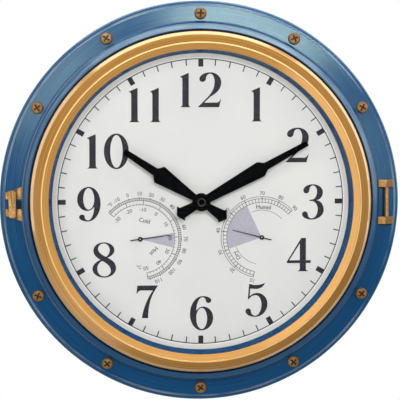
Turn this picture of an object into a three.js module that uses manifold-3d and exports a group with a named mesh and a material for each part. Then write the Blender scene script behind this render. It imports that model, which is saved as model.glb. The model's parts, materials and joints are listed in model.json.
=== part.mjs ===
// Outdoor wall clock with a thermometer and a hygrometer on its dial, in millimetres.
// X points to the viewer's right, Z up, and the dial looks along -Y. The wall is the plane y = 0, and
// the hands turn about the Y axis. A place called "front" or "rear" is a distance forward of the wall.

import * as THREE from 'three';
import { mergeVertices } from 'three/addons/utils/BufferGeometryUtils.js';
import Module from 'manifold-3d';

const wasm = await Module();
wasm.setup();

// Clearances and facets
const seatGap = 0.3;        // between pieces that seat on each other
const pivotGap = 0.3;       // round a shaft in its bearing
const ringSides = 44;       // large rings that show
const backSides = 32;       // large rings at the back
const smallSides = 10;      // screws, bosses, nuts
const shaftSides = 8;
const cornerSides = 4;      // rounded corners

// Front frame, from the rim inwards
const caseRadius = 177.8;   // the clock is 14 inches across
const rimWall = 3.8;
const rimRear = 3.5;
const rimFront = 17;
const rimBead = 3.5;        // radius of the rolled corner
const rimChamfer = 1.6;
const rimGroove = 0.9;      // from the rolled corner to the flange
const rimGrooveShelf = 0.5; // flat part of that groove
const rimGrooveDrop = 0.3;
const flangeWidth = 14.4;
const flangeFront = 18;     // at its outer edge
const flangeRise = 2;
const sheet = 2.4;          // wall of the frame
const stepWidth = 6.6;
const stepRiser = 5.6;      // the steep part of the step
const stepDraft = 0.9;
const stepRise = 10.6;
const seatDepth = 2.6;      // bezel seat below the step's edge
const gasketSlot = 1.6;
const bezelWidth = 16.2;
const bezelWall = 7.1;      // its outer wall, over the seat
const collarRise = 5.2;     // glass ledge above the bezel seat
const ledgeDrop = 7.4;      // from the glass ledge to the dial
const ledgeDraft = 3.7;
const dialPocket = 5.8;     // how far the dial's rim reaches under the ledge
const pocketDepth = 3.6;
const pocketWall = 4;

// Glass, bezel and dial
const glassThickness = 2;
const glassInset = 1.4;     // from the edge of its ledge
const bezelLip = 0.6;       // thin edge over the glass
const bezelRidge = 4.2;     // ridge above the underside of the lip
const bezelInnerSlope = 6;
const bezelOuterShoulder = 2.8;
const bezelShoulderDrop = 3.3;
const bezelShoulderRise = 1.2;
const bezelRidgeHalf = 0.7;
const bezelRidgeDrop = 0.4; // to the outer slope
const bezelRidgeStep = 0.3; // to the inner slope
const bezelGasketHeight = 1.2;
const dialRimThickness = 1.1;
const dialRimSlope = 3.9;   // width of the bevel round the dial
const dialSink = 2;         // dial face below its rim
const dialThickness = 0.8;
const dialEdgeGap = 0.4;    // round the dial in its pocket
const handHole = 4.3;
const gaugeHole = 1.6;

// Rear housing
const footRear = 0;
const footWidth = 9;
const footOverhang = 2;     // past the housing's wall
const footFront = 3.2;
const panelRear = 2.6;
const panelThickness = 2.2;
const housingGap = 0.5;     // round the housing inside the frame's rim
const housingWall = 2.4;
const housingFront = 14.3;
const sealWall = 2;         // inner wall, under the frame gasket
const sealWallOffset = 6.2; // from the screw circle inwards
const sealWallFront = 15;
const dialRibWidth = 3.5;
const dialRibInset = 1;     // inside the dial pocket's wall
const stiffenerCount = 12;
const stiffenerWidth = 2;
const stiffenerFront = 11;
const ventLength = 18;
const ventWidth = 2.6;
const ventPitch = 7;
const ventCount = 3;

// Battery door
const doorBorder = 5.5;     // of the door past the movement behind it
const doorThickness = 1.6;
const doorRear = 2.5;
const doorCorner = 3;
const rebateCorner = 1.2;   // sharper, to clear the door as it swings
const doorPinRadius = 0.6;
const doorPinLength = 2.2;
const doorAxisInset = 1.3;  // hinge axis below the door's top edge
const doorSideGap = 0.5;
const doorWall = 3.5;       // moulded wall round the door
const doorLedge = 4.7;
const doorSealThickness = 0.8;
const doorSealWidth = 1.7;
const doorSealCorner = 2;
const doorFrameFront = 6.9;
const thumbRadius = 8;
const thumbDepth = 1.3;

// Keyhole hanger, below the dial rib at the top
const hangerHalfWidth = 20;
const hangerHeight = 34;
const hangerTopGap = 4.5;
const hangerThickness = 1.2;
const hangerCorner = 4;
const hangerBorder = 6;     // of the plate that overlaps the housing
const keyholeDrop = 20;     // from the plate's top to the centre of the round part
const keyholeRadius = 5;
const keySlotHalf = 2.4;
const keySlotRise = 10;

// Frame screws: every 30 degrees, except where the hinge and the catch are
const screwSpaces = 12;
const screwInset = 7.2;     // from the flange's outer edge to the screw circle
const screwHeadRadius = 5;
const screwHeadRise = 2.8;
const screwHeadEdge = 0.9;
const screwDomeRadius = 3.6;
const screwDomeRise = 2.35;
const screwPoint = 1;
const screwShankRadius = 2.2;
const screwLength = 9.5;
const bossRadius = 5.2;
const bossDepth = 14.3;
const bossBoreGap = 0.4;    // round the screw's shank
const bossBoreSpare = 1.2;  // past its point

// Catch at the left and hinge at the right of the flange
const catchAngle = THREE.MathUtils.degToRad(181);
const catchPlateThickness = 1.2;
const catchOuterInset = 0.8;   // from the flange's outer edge
const catchLength = 13.1;
const catchSlotHalf = 4.4;
const catchOuterHalf = 10.3;
const catchInnerHalf = 15.5;
const catchBarHalf = 12.1;
const catchBarWidth = 6.3;
const catchBarThickness = 2.2;
const catchBarInset = 7.5;
const catchBarCorner = 2.52;
const hingeAngle = THREE.MathUtils.degToRad(-0.4);
const hingeBlockLength = 12.2;
const hingeBlockWidth = 6.5;
const hingeBlockRise = 3.6;
const hingeBlockEdge = 0.8;
const hingeBlockCrest = 1.2;   // flat top of the ridge
const hingeSpacing = 16.5;     // from the middle to each block
const hingeOuterInset = 1.9;
const hingeRodRadius = 1.8;
const hingeRodInset = 8.8;

// Movement: a quartz movement, 56 mm square. Its battery sets the width, its train and coil the height
const movementRear = 6.8;
const movementFront = 22.4;
const movementWall = 1.2;
const movementSplit = 14;
const collarRadius = 4;
const collarBore = 2.95;
const collarFront = 27;
const bayTop = -10.7;          // top of the wall above the battery bay
const bayWall = 1;
const washerRadius = 7.5;
const washerThickness = 0.5;
const nutRadius = 6.9;
const nutThickness = 2.2;
const nutGap = 0.2;            // above the washer

// Battery, size AA
const batteryRadius = 7.1;
const batteryLength = 49.2;
const batteryNubRadius = 2.7;
const batteryNubLength = 1.2;
const batteryEdge = 0.5;
const batterySideGap = 0.45;
const batteryFrontGap = 0.5;
const batteryEndRoom = 1.6;     // at each end, for the contacts
const contactThickness = 0.4;
const contactSpring = 1.2;      // how far the sprung contact bows towards the battery
const contactHalf = 5;
const contactRear = 10;
const contactFront = 17;

// Gear train. Teeth are given as shares of the module, and leaves as shares of the pitch
const addendum = 0.75;
const dedendum = 1.15;
const leafTip = 0.06;
const leafRoot = 0.26;
const wheelThickness = 0.8;
const levelStep = 1.9;
const firstLevel = 9.6;        // rear face of the fifth wheel
const bridgeGap = 0.5;
const bridgeThickness = 0.7;
const motionGap = 0.8;         // between the motion wheel and the hour wheel
const arborRadius = 0.5;
const stoutArborRadius = 0.9;
const pivotRadius = 0.35;
const pivotDepth = 0.7;        // of the bearing holes
const pivotReach = 0.5;        // of the pivots into them
const minuteShaftRadius = 1.5;
const minuteShaftBore = 0.8;
const shaftFlange = 1.1;       // round the foot of the minute shaft
const shaftFlangeThickness = 0.6;
const shaftSocket = 1.6;       // depth that the second wheel's front pivot reaches into it
const handSeat = 0.8;          // shoulder that the minute hand sits on
const handSeatThickness = 0.5;
const hourPipeRadius = 2.6;
const pillarRadius = 1.4;
const pillarInset = 2;         // from the bridge's edges
const pillarFromRotor = 7.4;
const rotorMagnetRadius = 2.8;
const rotorMagnetLength = 3;
const statorThickness = 0.6;
const statorAirGap = 0.6;
const rotorModule = 0.4;
const secondModule = 0.5;
const thirdModule = 0.35;
const motionModule = 0.5;
const hourModule = 0.5;
const settingModule = 0.5;
const rotorLeaves = 6;
const fifthTeeth = 36;
const fifthLeaves = 6;
const secondTeeth = 30;
const secondLeaves = 6;
const thirdTeeth = 45;
const thirdLeaves = 6;
const centreTeeth = 48;
const cannonTeeth = 10;
const motionTeeth = 30;
const motionLeaves = 8;
const hourTeeth = 32;
const settingTeeth = 12;
const knobRadius = 6.3;
const knobThickness = 1.5;
const knobRibs = 12;
const knobRibDepth = 0.7;
const knobFloor = 0.5;         // behind the end of its arbor
const bridgeLeft = -15;
const bridgeRight = 13.5;
const bridgeBottom = -5;
const bridgeTop = 18.2;
const bridgeCutX = 8.5;        // corner cut off at the upper left
const bridgeCutZ = 9.2;

// Coil, stator and circuit board
const statorRightGap = 3.4;    // to the case's wall
const statorBelow = 3.5;       // its lower and upper edge, from the rotor's axis
const statorAbove = 3.2;
const statorBulge = 0.8;       // round the rotor
const statorEar = 5;           // width of the arms up to the coil
const coilRadius = 3.5;
const coilStatorGap = 1.4;
const coilTopGap = 0.4;        // to the case's top wall
const coilShort = 12;          // winding shorter than the core
const coreHalf = 2;
const coreThickness = 1;
const coreCover = 0.4;         // the stator's arms reach past the core
const boardGap = 1;            // from the stator
const boardSideGap = 0.4;      // to the case's walls
const boardTopGap = 1.3;
const boardWidth = 8.8;
const boardHeight = 17.5;
const boardThickness = 1;
const boardLift = 1;           // above the case's floor
const chipRadius = 2.6;
const chipHeight = 1;
const crystalRadius = 1.3;
const crystalLength = 6;

// Hands: places along the hand from its axis, and half widths
const handThickness = 0.8;
const hourHandRear = 28.2;
const minuteHandRear = 30.4;
const handHubRadius = 8;
const handNutRadius = 3.5;
const handNutThickness = 1.5;
const handNutBore = 0.6;       // how far the shaft reaches into the nut
const hourHandAngle = THREE.MathUtils.degToRad(90 - 303.5);
const minuteHandAngle = THREE.MathUtils.degToRad(90 - 61.1);
const hourHand = {
  rootHalf: 3.1, shoulder: 44.4, shoulderHalf: 8.3, neck: 48.3, neckHalf: 3.7, tip: 81.6, tipHalf: 2.5,
  tailNotch: 21.3, tailNotchHalf: 5.1, tailBarb: 22.3, tailBarbHalf: 7, tailEnd: 27.5,
};
const minuteHand = {
  rootHalf: 3.8, shoulder: 60.2, shoulderHalf: 7.1, neck: 65.3, neckHalf: 3.4, tip: 107.5, tipHalf: 2.3,
  tailNotch: 19.3, tailNotchHalf: 5, tailBarb: 20.5, tailBarbHalf: 7.5, tailEnd: 24.8,
};

// Thermometer and hygrometer
const thermometerX = -53.8;
const thermometerZ = -33;
const thermometerAngle = THREE.MathUtils.degToRad(7.7);
const hygrometerX = 54.2;
const hygrometerZ = -32;
const hygrometerAngle = THREE.MathUtils.degToRad(165.5);
const gauges = [
  { name: 'thermometer', x: thermometerX, z: thermometerZ, pointer: thermometerAngle },
  { name: 'hygrometer', x: hygrometerX, z: hygrometerZ, pointer: hygrometerAngle },
];
const pointerTip = 27.2;
const pointerTail = 8.9;
const pointerHalf = 0.45;
const pointerTipHalf = 0.2;
const pointerThickness = 0.4;
const pointerEyelet = 2.1;
const pointerLift = 1.1;       // above the dial
const gaugeArborRadius = 0.9;
const gaugePivotRadius = 0.45;
const bracketRear = 8.8;
const bracketThickness = 1;
const bracketRadius = 13.5;
const bracketPillar = 1.2;
const coilInner = 2.4;
const coilOuter = 10.6;
const coilTurns = 2.5;
const coilStrip = 0.5;
const coilRear = 12;
const coilHeight = 4;
const coilStepsPerTurn = 12;

// Places worked out from the sizes above
const flangeOuter = caseRadius - rimBead - rimGroove;
const flangeInner = flangeOuter - flangeWidth;
const flangeInnerFront = flangeFront + flangeRise;
const flangeTilt = Math.atan2(flangeRise, flangeWidth);
const stepFront = flangeInnerFront + stepRise;
const stepInner = flangeInner - stepWidth;
const bezelOuter = stepInner - gasketSlot;
const bezelInner = bezelOuter - bezelWidth;
const bezelSeat = stepFront - seatDepth;
const collarOuter = bezelOuter - bezelWall - seatGap;
const glassLedge = bezelSeat + collarRise;
const ledgeInner = bezelInner + seatGap;
const dialOpening = ledgeInner - ledgeDraft;
const dialClamp = glassLedge - ledgeDrop;
const pocketOuter = dialOpening + dialPocket;
const dialRibOuter = pocketOuter - dialRibInset;
const dialRibInner = dialRibOuter - dialRibWidth;
const hangerTop = dialRibInner - hangerTopGap;
const hangerBottom = hangerTop - hangerHeight;
const keyholeHeight = hangerTop - keyholeDrop;
const glassRear = glassLedge + seatGap;
const glassFront = glassRear + glassThickness;
const glassRadius = collarOuter - glassInset;
const dialRimFront = dialClamp - seatGap;
const dialRimRear = dialRimFront - dialRimThickness;
const dialFront = dialRimFront - dialSink;
const dialRear = dialFront - dialThickness;
const dialFaceRadius = dialOpening - dialEdgeGap - dialRimSlope;
const housingOuter = caseRadius - rimWall - housingGap;
const footInner = housingOuter + footOverhang - footWidth;
const housingInner = housingOuter - housingWall;
const panelFront = panelRear + panelThickness;
const screwCircle = flangeOuter - screwInset;
const screwSeat = flangeFront + flangeRise * screwInset / flangeWidth;
const screwHole = screwShankRadius + seatGap;
const pointerRear = dialFront + pointerLift;
const rearBearing = movementRear + movementWall;
const frontBearing = movementFront - movementWall;
const movementInner = (batteryLength + batteryNubLength) / 2 + batteryEndRoom;
const movementHalf = movementInner + movementWall;
const batteryZ = bayTop - bayWall - batterySideGap - batteryRadius;
const batteryFront = frontBearing - batteryRadius - batteryFrontGap;
const bayBottom = batteryZ - batteryRadius - batterySideGap;
const movementBottom = bayBottom - movementWall;

// Profile point at a radius and a distance forward of the wall
const at = (radius, front) => new THREE.Vector2(radius, -front);

// A closed geometry as a solid with its faces turned outwards
function toSolid(geometry) {
  const bare = geometry.index ? geometry.toNonIndexed() : geometry.clone();
  bare.deleteAttribute('normal');
  bare.deleteAttribute('uv');
  const merged = mergeVertices(bare, 1e-4);
  const points = merged.attributes.position;
  const corners = [new THREE.Vector3(), new THREE.Vector3(), new THREE.Vector3()];
  const triangles = [];
  let volume = 0;
  for (let i = 0; i < merged.index.count; i += 3) {
    const [a, b, c] = [0, 1, 2].map((k) => merged.index.getX(i + k));
    if (a === b || b === c || c === a) continue;
    [a, b, c].forEach((vertex, k) => corners[k].fromBufferAttribute(points, vertex));
    volume += corners[0].dot(corners[1].clone().cross(corners[2]));
    triangles.push([a, b, c]);
  }
  const triVerts = new Uint32Array(triangles.flatMap(([a, b, c]) => (volume > 0 ? [a, b, c] : [a, c, b])));
  const vertProperties = new Float32Array(points.array);
  return new wasm.Manifold(new wasm.Mesh({ numProp: 3, vertProperties, triVerts }));
}

function toGeometry(solid) {
  const { vertProperties, triVerts } = solid.getMesh();
  const geometry = new THREE.BufferGeometry();
  geometry.setAttribute('position', new THREE.BufferAttribute(vertProperties, 3));
  geometry.setIndex(new THREE.BufferAttribute(triVerts, 1));
  geometry.computeVertexNormals();
  return geometry;
}

// A profile that starts and ends on the axis, turned about the Y axis
const revolve = (outline, sides) => toSolid(new THREE.LatheGeometry(outline, sides));

// A profile that never reaches the axis closes on itself
const revolveRing = (outline, sides) => revolve([...outline, outline[0]], sides);

// A flat shape in X and Z, from its rear face forwards
function slab(shape, rear, thickness, arcSides = smallSides) {
  const geometry = new THREE.ExtrudeGeometry(shape, {
    depth: thickness, bevelEnabled: false, curveSegments: arcSides / 2,
  });
  geometry.rotateX(Math.PI / 2);
  geometry.translate(0, -rear, 0);
  return toSolid(geometry);
}

function block(x0, x1, z0, z1, rear, front) {
  const geometry = new THREE.BoxGeometry(x1 - x0, front - rear, z1 - z0);
  geometry.translate((x0 + x1) / 2, -(rear + front) / 2, (z0 + z1) / 2);
  return toSolid(geometry);
}

// A turned shaft: each step gives its radius and the front at which it ends
function turned(rear, steps, sides = shaftSides) {
  const outline = [at(0, rear)];
  let front = rear;
  for (const [radius, end] of steps) {
    outline.push(at(radius, front), at(radius, end));
    front = end;
  }
  outline.push(at(0, front));
  return revolve(outline, sides);
}

const rod = (radius, rear, front, sides = shaftSides) => turned(rear, [[radius, front]], sides);

function moved(solid, x, z) {
  return solid.translate([x, 0, z]);
}

function outlineOf(points) {
  return new THREE.Shape(points.map(([x, z]) => new THREE.Vector2(x, z)));
}

function roundedSquare(half, corner) {
  const shape = new THREE.Shape();
  const inner = half - corner;
  shape.absarc(inner, inner, corner, 0, Math.PI / 2, false);
  shape.absarc(-inner, inner, corner, Math.PI / 2, Math.PI, false);
  shape.absarc(-inner, -inner, corner, Math.PI, 1.5 * Math.PI, false);
  shape.absarc(inner, -inner, corner, 1.5 * Math.PI, 2 * Math.PI, false);
  return shape;
}

function finish(color, roughness, metalness) {
  return new THREE.MeshStandardMaterial({ color, roughness, metalness });
}

const bluePaint = () => finish(0x2f6390, 0.5, 0.2);
const gold = () => finish(0xcf9c55, 0.35, 0.9);
const brass = () => finish(0xa47c40, 0.4, 0.9);
const steel = () => finish(0xa9adb0, 0.4, 0.9);
const blackPaint = () => finish(0x0d0d0e, 0.4, 0.1);
const blackPlastic = () => finish(0x1c1d1f, 0.6, 0);
const rubber = () => finish(0x26241f, 0.9, 0);
const whitePlastic = () => finish(0xe4e1d8, 0.5, 0);

const clock = new THREE.Group();

function addPiece(name, solid, material, parent = clock) {
  const mesh = new THREE.Mesh(toGeometry(solid), material);
  mesh.name = name;
  parent.add(mesh);
  return mesh;
}

function groupAt(x, z, parent = clock) {
  const group = new THREE.Group();
  group.position.set(x, 0, z);
  parent.add(group);
  return group;
}

// Place on the flange's slope: X outwards down the slope, -Y square to it
function flangePlace(angle) {
  const place = new THREE.Matrix4().makeRotationY(-angle);
  place.multiply(new THREE.Matrix4().makeTranslation(screwCircle, -screwSeat, 0));
  return place.multiply(new THREE.Matrix4().makeRotationZ(flangeTilt));
}

const onFlange = (solid, angle) => solid.transform(flangePlace(angle).toArray());

// The screws leave out the two places of the hinge and the catch
function screwAngles() {
  const step = 2 * Math.PI / screwSpaces;
  const places = Array.from({ length: screwSpaces }, (_, i) => Math.PI / 2 - i * step);
  return places.filter((angle) => Math.abs(Math.sin(angle)) > 0.01);
}

// Front frame, glass, bezel and dial

function flangeAt(radius) {
  return flangeFront + flangeRise * (flangeOuter - radius) / flangeWidth;
}

function rimCorner() {
  const centre = { radius: caseRadius - rimBead, front: rimFront - rimBead };
  return [0, 45, 90].map((degrees) => {
    const angle = THREE.MathUtils.degToRad(degrees);
    return at(centre.radius + rimBead * Math.cos(angle), centre.front + rimBead * Math.sin(angle));
  });
}

function makeFrontFrame() {
  const rimInner = caseRadius - rimWall;
  const underside = sheet / Math.cos(flangeTilt);
  const riserTop = flangeInnerFront + stepRiser;
  const outline = [
    at(rimInner, rimRear),
    at(caseRadius - rimChamfer, rimRear),
    at(caseRadius, rimRear + rimChamfer),
    ...rimCorner(),
    at(flangeOuter + rimGrooveShelf, rimFront - rimGrooveDrop),
    at(flangeOuter, flangeFront),
    at(flangeInner, flangeInnerFront),
    at(flangeInner - stepDraft, riserTop),
    at(flangeInner - 2 * stepDraft, riserTop + stepDraft),
    at(stepInner, stepFront),
    at(stepInner, bezelSeat),
    at(collarOuter, bezelSeat),
    at(collarOuter, glassLedge),
    at(ledgeInner, glassLedge),
    at(dialOpening, dialClamp),
    at(pocketOuter, dialClamp),
    at(pocketOuter, dialClamp - pocketDepth),
    at(pocketOuter + pocketWall, dialClamp - pocketDepth),
    at(pocketOuter + pocketWall, bezelSeat - sheet),
    at(flangeInner - stepDraft - sheet, bezelSeat - sheet),
    at(flangeInner - sheet, flangeAt(flangeInner - sheet) - underside),
    at(rimInner, flangeAt(rimInner) - underside),
  ];
  let frame = revolveRing(outline, ringSides);
  const hole = rod(screwHole, -2 * sheet, sheet, smallSides);
  for (const angle of screwAngles()) frame = frame.subtract(onFlange(hole, angle));
  addPiece('front_frame', frame, bluePaint());
}

function makeBezel() {
  const lip = glassFront + seatGap;
  const base = bezelSeat + seatGap;
  const ridgeRadius = bezelInner + bezelInnerSlope;
  const outline = [
    at(bezelOuter, base),
    at(bezelOuter, lip - bezelShoulderDrop),
    at(bezelOuter - bezelOuterShoulder, lip + bezelShoulderRise),
    at(ridgeRadius + bezelRidgeHalf, lip + bezelRidge - bezelRidgeDrop),
    at(ridgeRadius, lip + bezelRidge),
    at(ridgeRadius - bezelRidgeHalf, lip + bezelRidge - bezelRidgeStep),
    at(bezelInner, lip + bezelLip),
    at(bezelInner, lip),
    at(bezelOuter - bezelWall, lip),
    at(bezelOuter - bezelWall, base),
  ];
  addPiece('bezel_ring', revolveRing(outline, ringSides), gold());

  const gasketOuter = stepInner - seatGap;
  const gasketInner = bezelOuter + seatGap;
  const top = base + bezelGasketHeight;
  const gasket = revolveRing([
    at(gasketInner, base), at(gasketOuter, base), at(gasketOuter, top), at(gasketInner, top),
  ], ringSides);
  addPiece('bezel_gasket', gasket, rubber());
}

function makeLens() {
  const glass = finish(0xdde7ea, 0.05, 0);
  glass.transparent = true;
  glass.opacity = 0.25;
  addPiece('lens', rod(glassRadius, glassRear, glassFront, ringSides), glass);
}

function makeDial() {
  const rimOuter = pocketOuter - dialEdgeGap;
  const outline = [
    at(0, dialRear),
    at(dialFaceRadius, dialRear),
    at(dialFaceRadius + dialRimSlope, dialRimRear),
    at(rimOuter, dialRimRear),
    at(rimOuter, dialRimFront),
    at(dialFaceRadius + dialRimSlope, dialRimFront),
    at(dialFaceRadius, dialFront),
    at(0, dialFront),
  ];
  const through = [dialRear - 1, dialFront + 1];
  let dial = revolve(outline, ringSides).subtract(rod(handHole, ...through, smallSides));
  for (const gauge of gauges) dial = dial.subtract(moved(rod(gaugeHole, ...through), gauge.x, gauge.z));
  addPiece('dial', dial, finish(0xdfe0df, 0.45, 0));
}

// Rear housing, hanger and battery door

function keyholeShape(grow = 0) {
  const shape = new THREE.Shape();
  const slotHalf = keySlotHalf + grow;
  const radius = keyholeRadius + grow;
  const slotTop = keyholeHeight + keySlotRise;
  const meet = Math.acos(slotHalf / radius);
  shape.absarc(0, keyholeHeight, radius, Math.PI - meet, 2 * Math.PI + meet, false);
  shape.absarc(0, slotTop, slotHalf, 0, Math.PI, false);
  return shape;
}

function makeHanger() {
  const half = hangerHalfWidth;
  const cut = hangerCorner;
  const plate = outlineOf([
    [-half, hangerBottom], [half, hangerBottom], [half, hangerTop - cut],
    [half - cut, hangerTop], [cut - half, hangerTop], [-half, hangerTop - cut],
  ]);
  const rear = panelFront + seatGap;
  const keyhole = slab(keyholeShape(), rear - 1, hangerThickness + 2);
  addPiece('hanger_plate', slab(plate, rear, hangerThickness).subtract(keyhole), steel());
}

function ventSlots(gauge) {
  const slots = [];
  for (let i = 0; i < ventCount; i += 1) {
    const z = gauge.z + (i - (ventCount - 1) / 2) * ventPitch;
    const x0 = gauge.x - ventLength / 2;
    const z0 = z - ventWidth / 2;
    slots.push(block(x0, x0 + ventLength, z0, z0 + ventWidth, panelRear - 1, panelFront + 1));
  }
  return slots;
}

function doorPin(side, radius, from, to) {
  const geometry = new THREE.CylinderGeometry(radius, radius, to - from, shaftSides);
  geometry.rotateZ(Math.PI / 2);
  geometry.translate(side * (from + to) / 2, -doorRear - doorThickness / 2, doorHalf - doorAxisInset);
  return toSolid(geometry);
}

function makeRearHousing() {
  const wallOuter = screwCircle - sealWallOffset;
  const wallInner = wallOuter - sealWall;
  const ribFront = dialRimRear - seatGap;
  const rebateFloor = doorRear + doorThickness + doorSealThickness + 2 * seatGap;
  const outline = [
    at(0, panelRear),
    at(footInner, panelRear),
    at(footInner, footRear),
    at(footInner + footWidth, footRear),
    at(footInner + footWidth, footFront),
    at(housingOuter, footFront),
    at(housingOuter, housingFront),
    at(housingInner, housingFront),
    at(housingInner, panelFront),
    at(wallOuter, panelFront),
    at(wallOuter, sealWallFront),
    at(wallInner, sealWallFront),
    at(wallInner, panelFront),
    at(dialRibOuter, panelFront),
    at(dialRibOuter, ribFront),
    at(dialRibInner, ribFront),
    at(dialRibInner, panelFront),
    at(0, panelFront),
  ];
  let housing = revolve(outline, backSides);
  for (let i = 0; i < stiffenerCount; i += 1) {
    const half = stiffenerWidth / 2;
    const rib = block(dialRibOuter - 1, wallInner + 1, -half, half, panelFront - 1, stiffenerFront);
    housing = housing.add(rib.rotate([0, (i + 0.5) * 360 / stiffenerCount, 0]));
  }
  const boss = rod(bossRadius, -bossDepth, -sheet - seatGap);
  const bore = rod(screwShankRadius + bossBoreGap, seatGap - screwLength - bossBoreSpare, 0);
  for (const angle of screwAngles()) {
    housing = housing.add(onFlange(boss, angle)).subtract(onFlange(bore, angle));
  }
  const wallHalf = doorHalf + doorSideGap + doorWall;
  const rebateHalf = doorHalf + doorSideGap;
  const openingHalf = rebateHalf - doorLedge;
  const rebateShape = roundedSquare(rebateHalf, rebateCorner);
  housing = housing
    .add(slab(roundedSquare(wallHalf, doorCorner), panelRear, doorFrameFront - panelRear, cornerSides))
    .subtract(slab(rebateShape, panelRear - 1, rebateFloor - panelRear + 1, cornerSides))
    .subtract(block(-openingHalf, openingHalf, -openingHalf, openingHalf, 0, doorFrameFront + 1))
    .subtract(moved(rod(thumbRadius, panelRear - 1, panelRear + thumbDepth, smallSides), 0, -rebateHalf))
    .subtract(block(hangerBorder - hangerHalfWidth, hangerHalfWidth - hangerBorder,
      hangerBottom + hangerBorder, hangerTop - hangerBorder, panelRear - 1, panelFront + 1));
  for (const gauge of gauges) for (const slot of ventSlots(gauge)) housing = housing.subtract(slot);
  for (const side of [-1, 1]) {
    const hole = doorPin(side, doorPinRadius + pivotGap, doorHalf - 1, doorHalf + doorPinLength + 0.5);
    housing = housing.subtract(hole);
  }
  addPiece('rear_housing', housing, blackPlastic());

  const gasketRear = sealWallFront + seatGap;
  const gasketInner = wallInner + 0.2;
  const gasketOuter = wallOuter - 0.2;
  const under = (radius) => flangeAt(radius) - sheet / Math.cos(flangeTilt) - seatGap - 0.1;
  const gasket = revolveRing([
    at(gasketInner, gasketRear), at(gasketOuter, gasketRear),
    at(gasketOuter, under(gasketOuter)), at(gasketInner, under(gasketInner)),
  ], backSides);
  addPiece('frame_gasket', gasket, rubber());

  const sealInner = openingHalf + seatGap;
  const sealShape = roundedSquare(sealInner + doorSealWidth, doorSealCorner);
  const seal = slab(sealShape, rebateFloor - seatGap - doorSealThickness, doorSealThickness, cornerSides)
    .subtract(block(-sealInner, sealInner, -sealInner, sealInner, 0, rebateFloor + 1));
  addPiece('door_seal', seal, rubber());
}

function makeBatteryDoor() {
  let door = slab(roundedSquare(doorHalf, doorCorner), doorRear, doorThickness, cornerSides);
  for (const side of [-1, 1]) {
    door = door.add(doorPin(side, doorPinRadius, doorHalf - 2, doorHalf + doorPinLength));
  }
  addPiece('battery_door', door, blackPlastic());
}

// Frame screws, catch and hinge on the flange

function makeScrews() {
  const screw = revolve([
    at(0, seatGap - screwLength),
    at(screwShankRadius, seatGap - screwLength + screwPoint),
    at(screwShankRadius, seatGap),
    at(screwHeadRadius, seatGap),
    at(screwHeadRadius, seatGap + screwHeadEdge),
    at(screwDomeRadius, seatGap + screwDomeRise),
    at(0, seatGap + screwHeadRise),
  ], smallSides);
  screwAngles().forEach((angle, i) => {
    const name = `frame_screw_${String(i + 1).padStart(2, '0')}`;
    addPiece(name, screw, brass()).applyMatrix4(flangePlace(angle));
  });
}

// The screw circle is the origin on the flange's slope, so places along it start from there
const alongFlange = (inset) => screwInset - inset;

function makeCatch() {
  const catchPlace = flangePlace(catchAngle);
  const outer = alongFlange(catchOuterInset);
  const inner = outer - catchLength;
  for (const [name, side] of [['keeper_plate_upper', -1], ['keeper_plate_lower', 1]]) {
    const plate = outlineOf([
      [inner, side * catchSlotHalf], [outer, side * catchSlotHalf],
      [outer, side * catchOuterHalf], [inner, side * catchInnerHalf],
    ]);
    addPiece(name, slab(plate, seatGap, catchPlateThickness), brass()).applyMatrix4(catchPlace);
  }
  const bar = new THREE.Shape();
  const middle = alongFlange(catchBarInset);
  const half = catchBarWidth / 2;
  const corner = catchBarCorner;
  bar.moveTo(middle + half, -catchBarHalf);
  bar.lineTo(middle + half, catchBarHalf);
  bar.absarc(middle - half + corner, catchBarHalf - corner, corner, Math.PI / 2, Math.PI, false);
  bar.absarc(middle - half + corner, -catchBarHalf + corner, corner, Math.PI, 1.5 * Math.PI, false);
  const barRear = seatGap + catchPlateThickness + seatGap;
  addPiece('keeper_bar', slab(bar, barRear, catchBarThickness, 8), brass()).applyMatrix4(catchPlace);
}

function makeHinge() {
  const place = flangePlace(hingeAngle);
  const outer = alongFlange(hingeOuterInset);
  const inner = outer - hingeBlockLength;
  const rodPlace = alongFlange(hingeRodInset);
  const rodRear = seatGap + hingeRodRadius;
  for (const [name, side] of [['hinge_block_upper', 1], ['hinge_block_lower', -1]]) {
    // The block is a ridge across the flange: its section, drawn along the flange and outwards
    const section = new THREE.Shape([
      new THREE.Vector2(inner, -seatGap),
      new THREE.Vector2(outer, -seatGap),
      new THREE.Vector2(outer, -seatGap - hingeBlockEdge),
      new THREE.Vector2((inner + outer + hingeBlockCrest) / 2, -seatGap - hingeBlockRise),
      new THREE.Vector2((inner + outer - hingeBlockCrest) / 2, -seatGap - hingeBlockRise),
      new THREE.Vector2(inner, -seatGap - hingeBlockEdge),
    ]);
    const ridge = new THREE.ExtrudeGeometry(section, { depth: hingeBlockWidth, bevelEnabled: false });
    ridge.translate(0, 0, side * hingeSpacing - hingeBlockWidth / 2);
    addPiece(name, toSolid(ridge), brass()).applyMatrix4(place);
  }
  const rodHalf = hingeSpacing - hingeBlockWidth / 2 - seatGap;
  const hingeRod = new THREE.CylinderGeometry(hingeRodRadius, hingeRodRadius, 2 * rodHalf, smallSides);
  hingeRod.rotateX(Math.PI / 2);
  hingeRod.translate(rodPlace, -rodRear, 0);
  addPiece('hinge_rod', toSolid(hingeRod), brass()).applyMatrix4(place);
}

// Gear train

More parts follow.
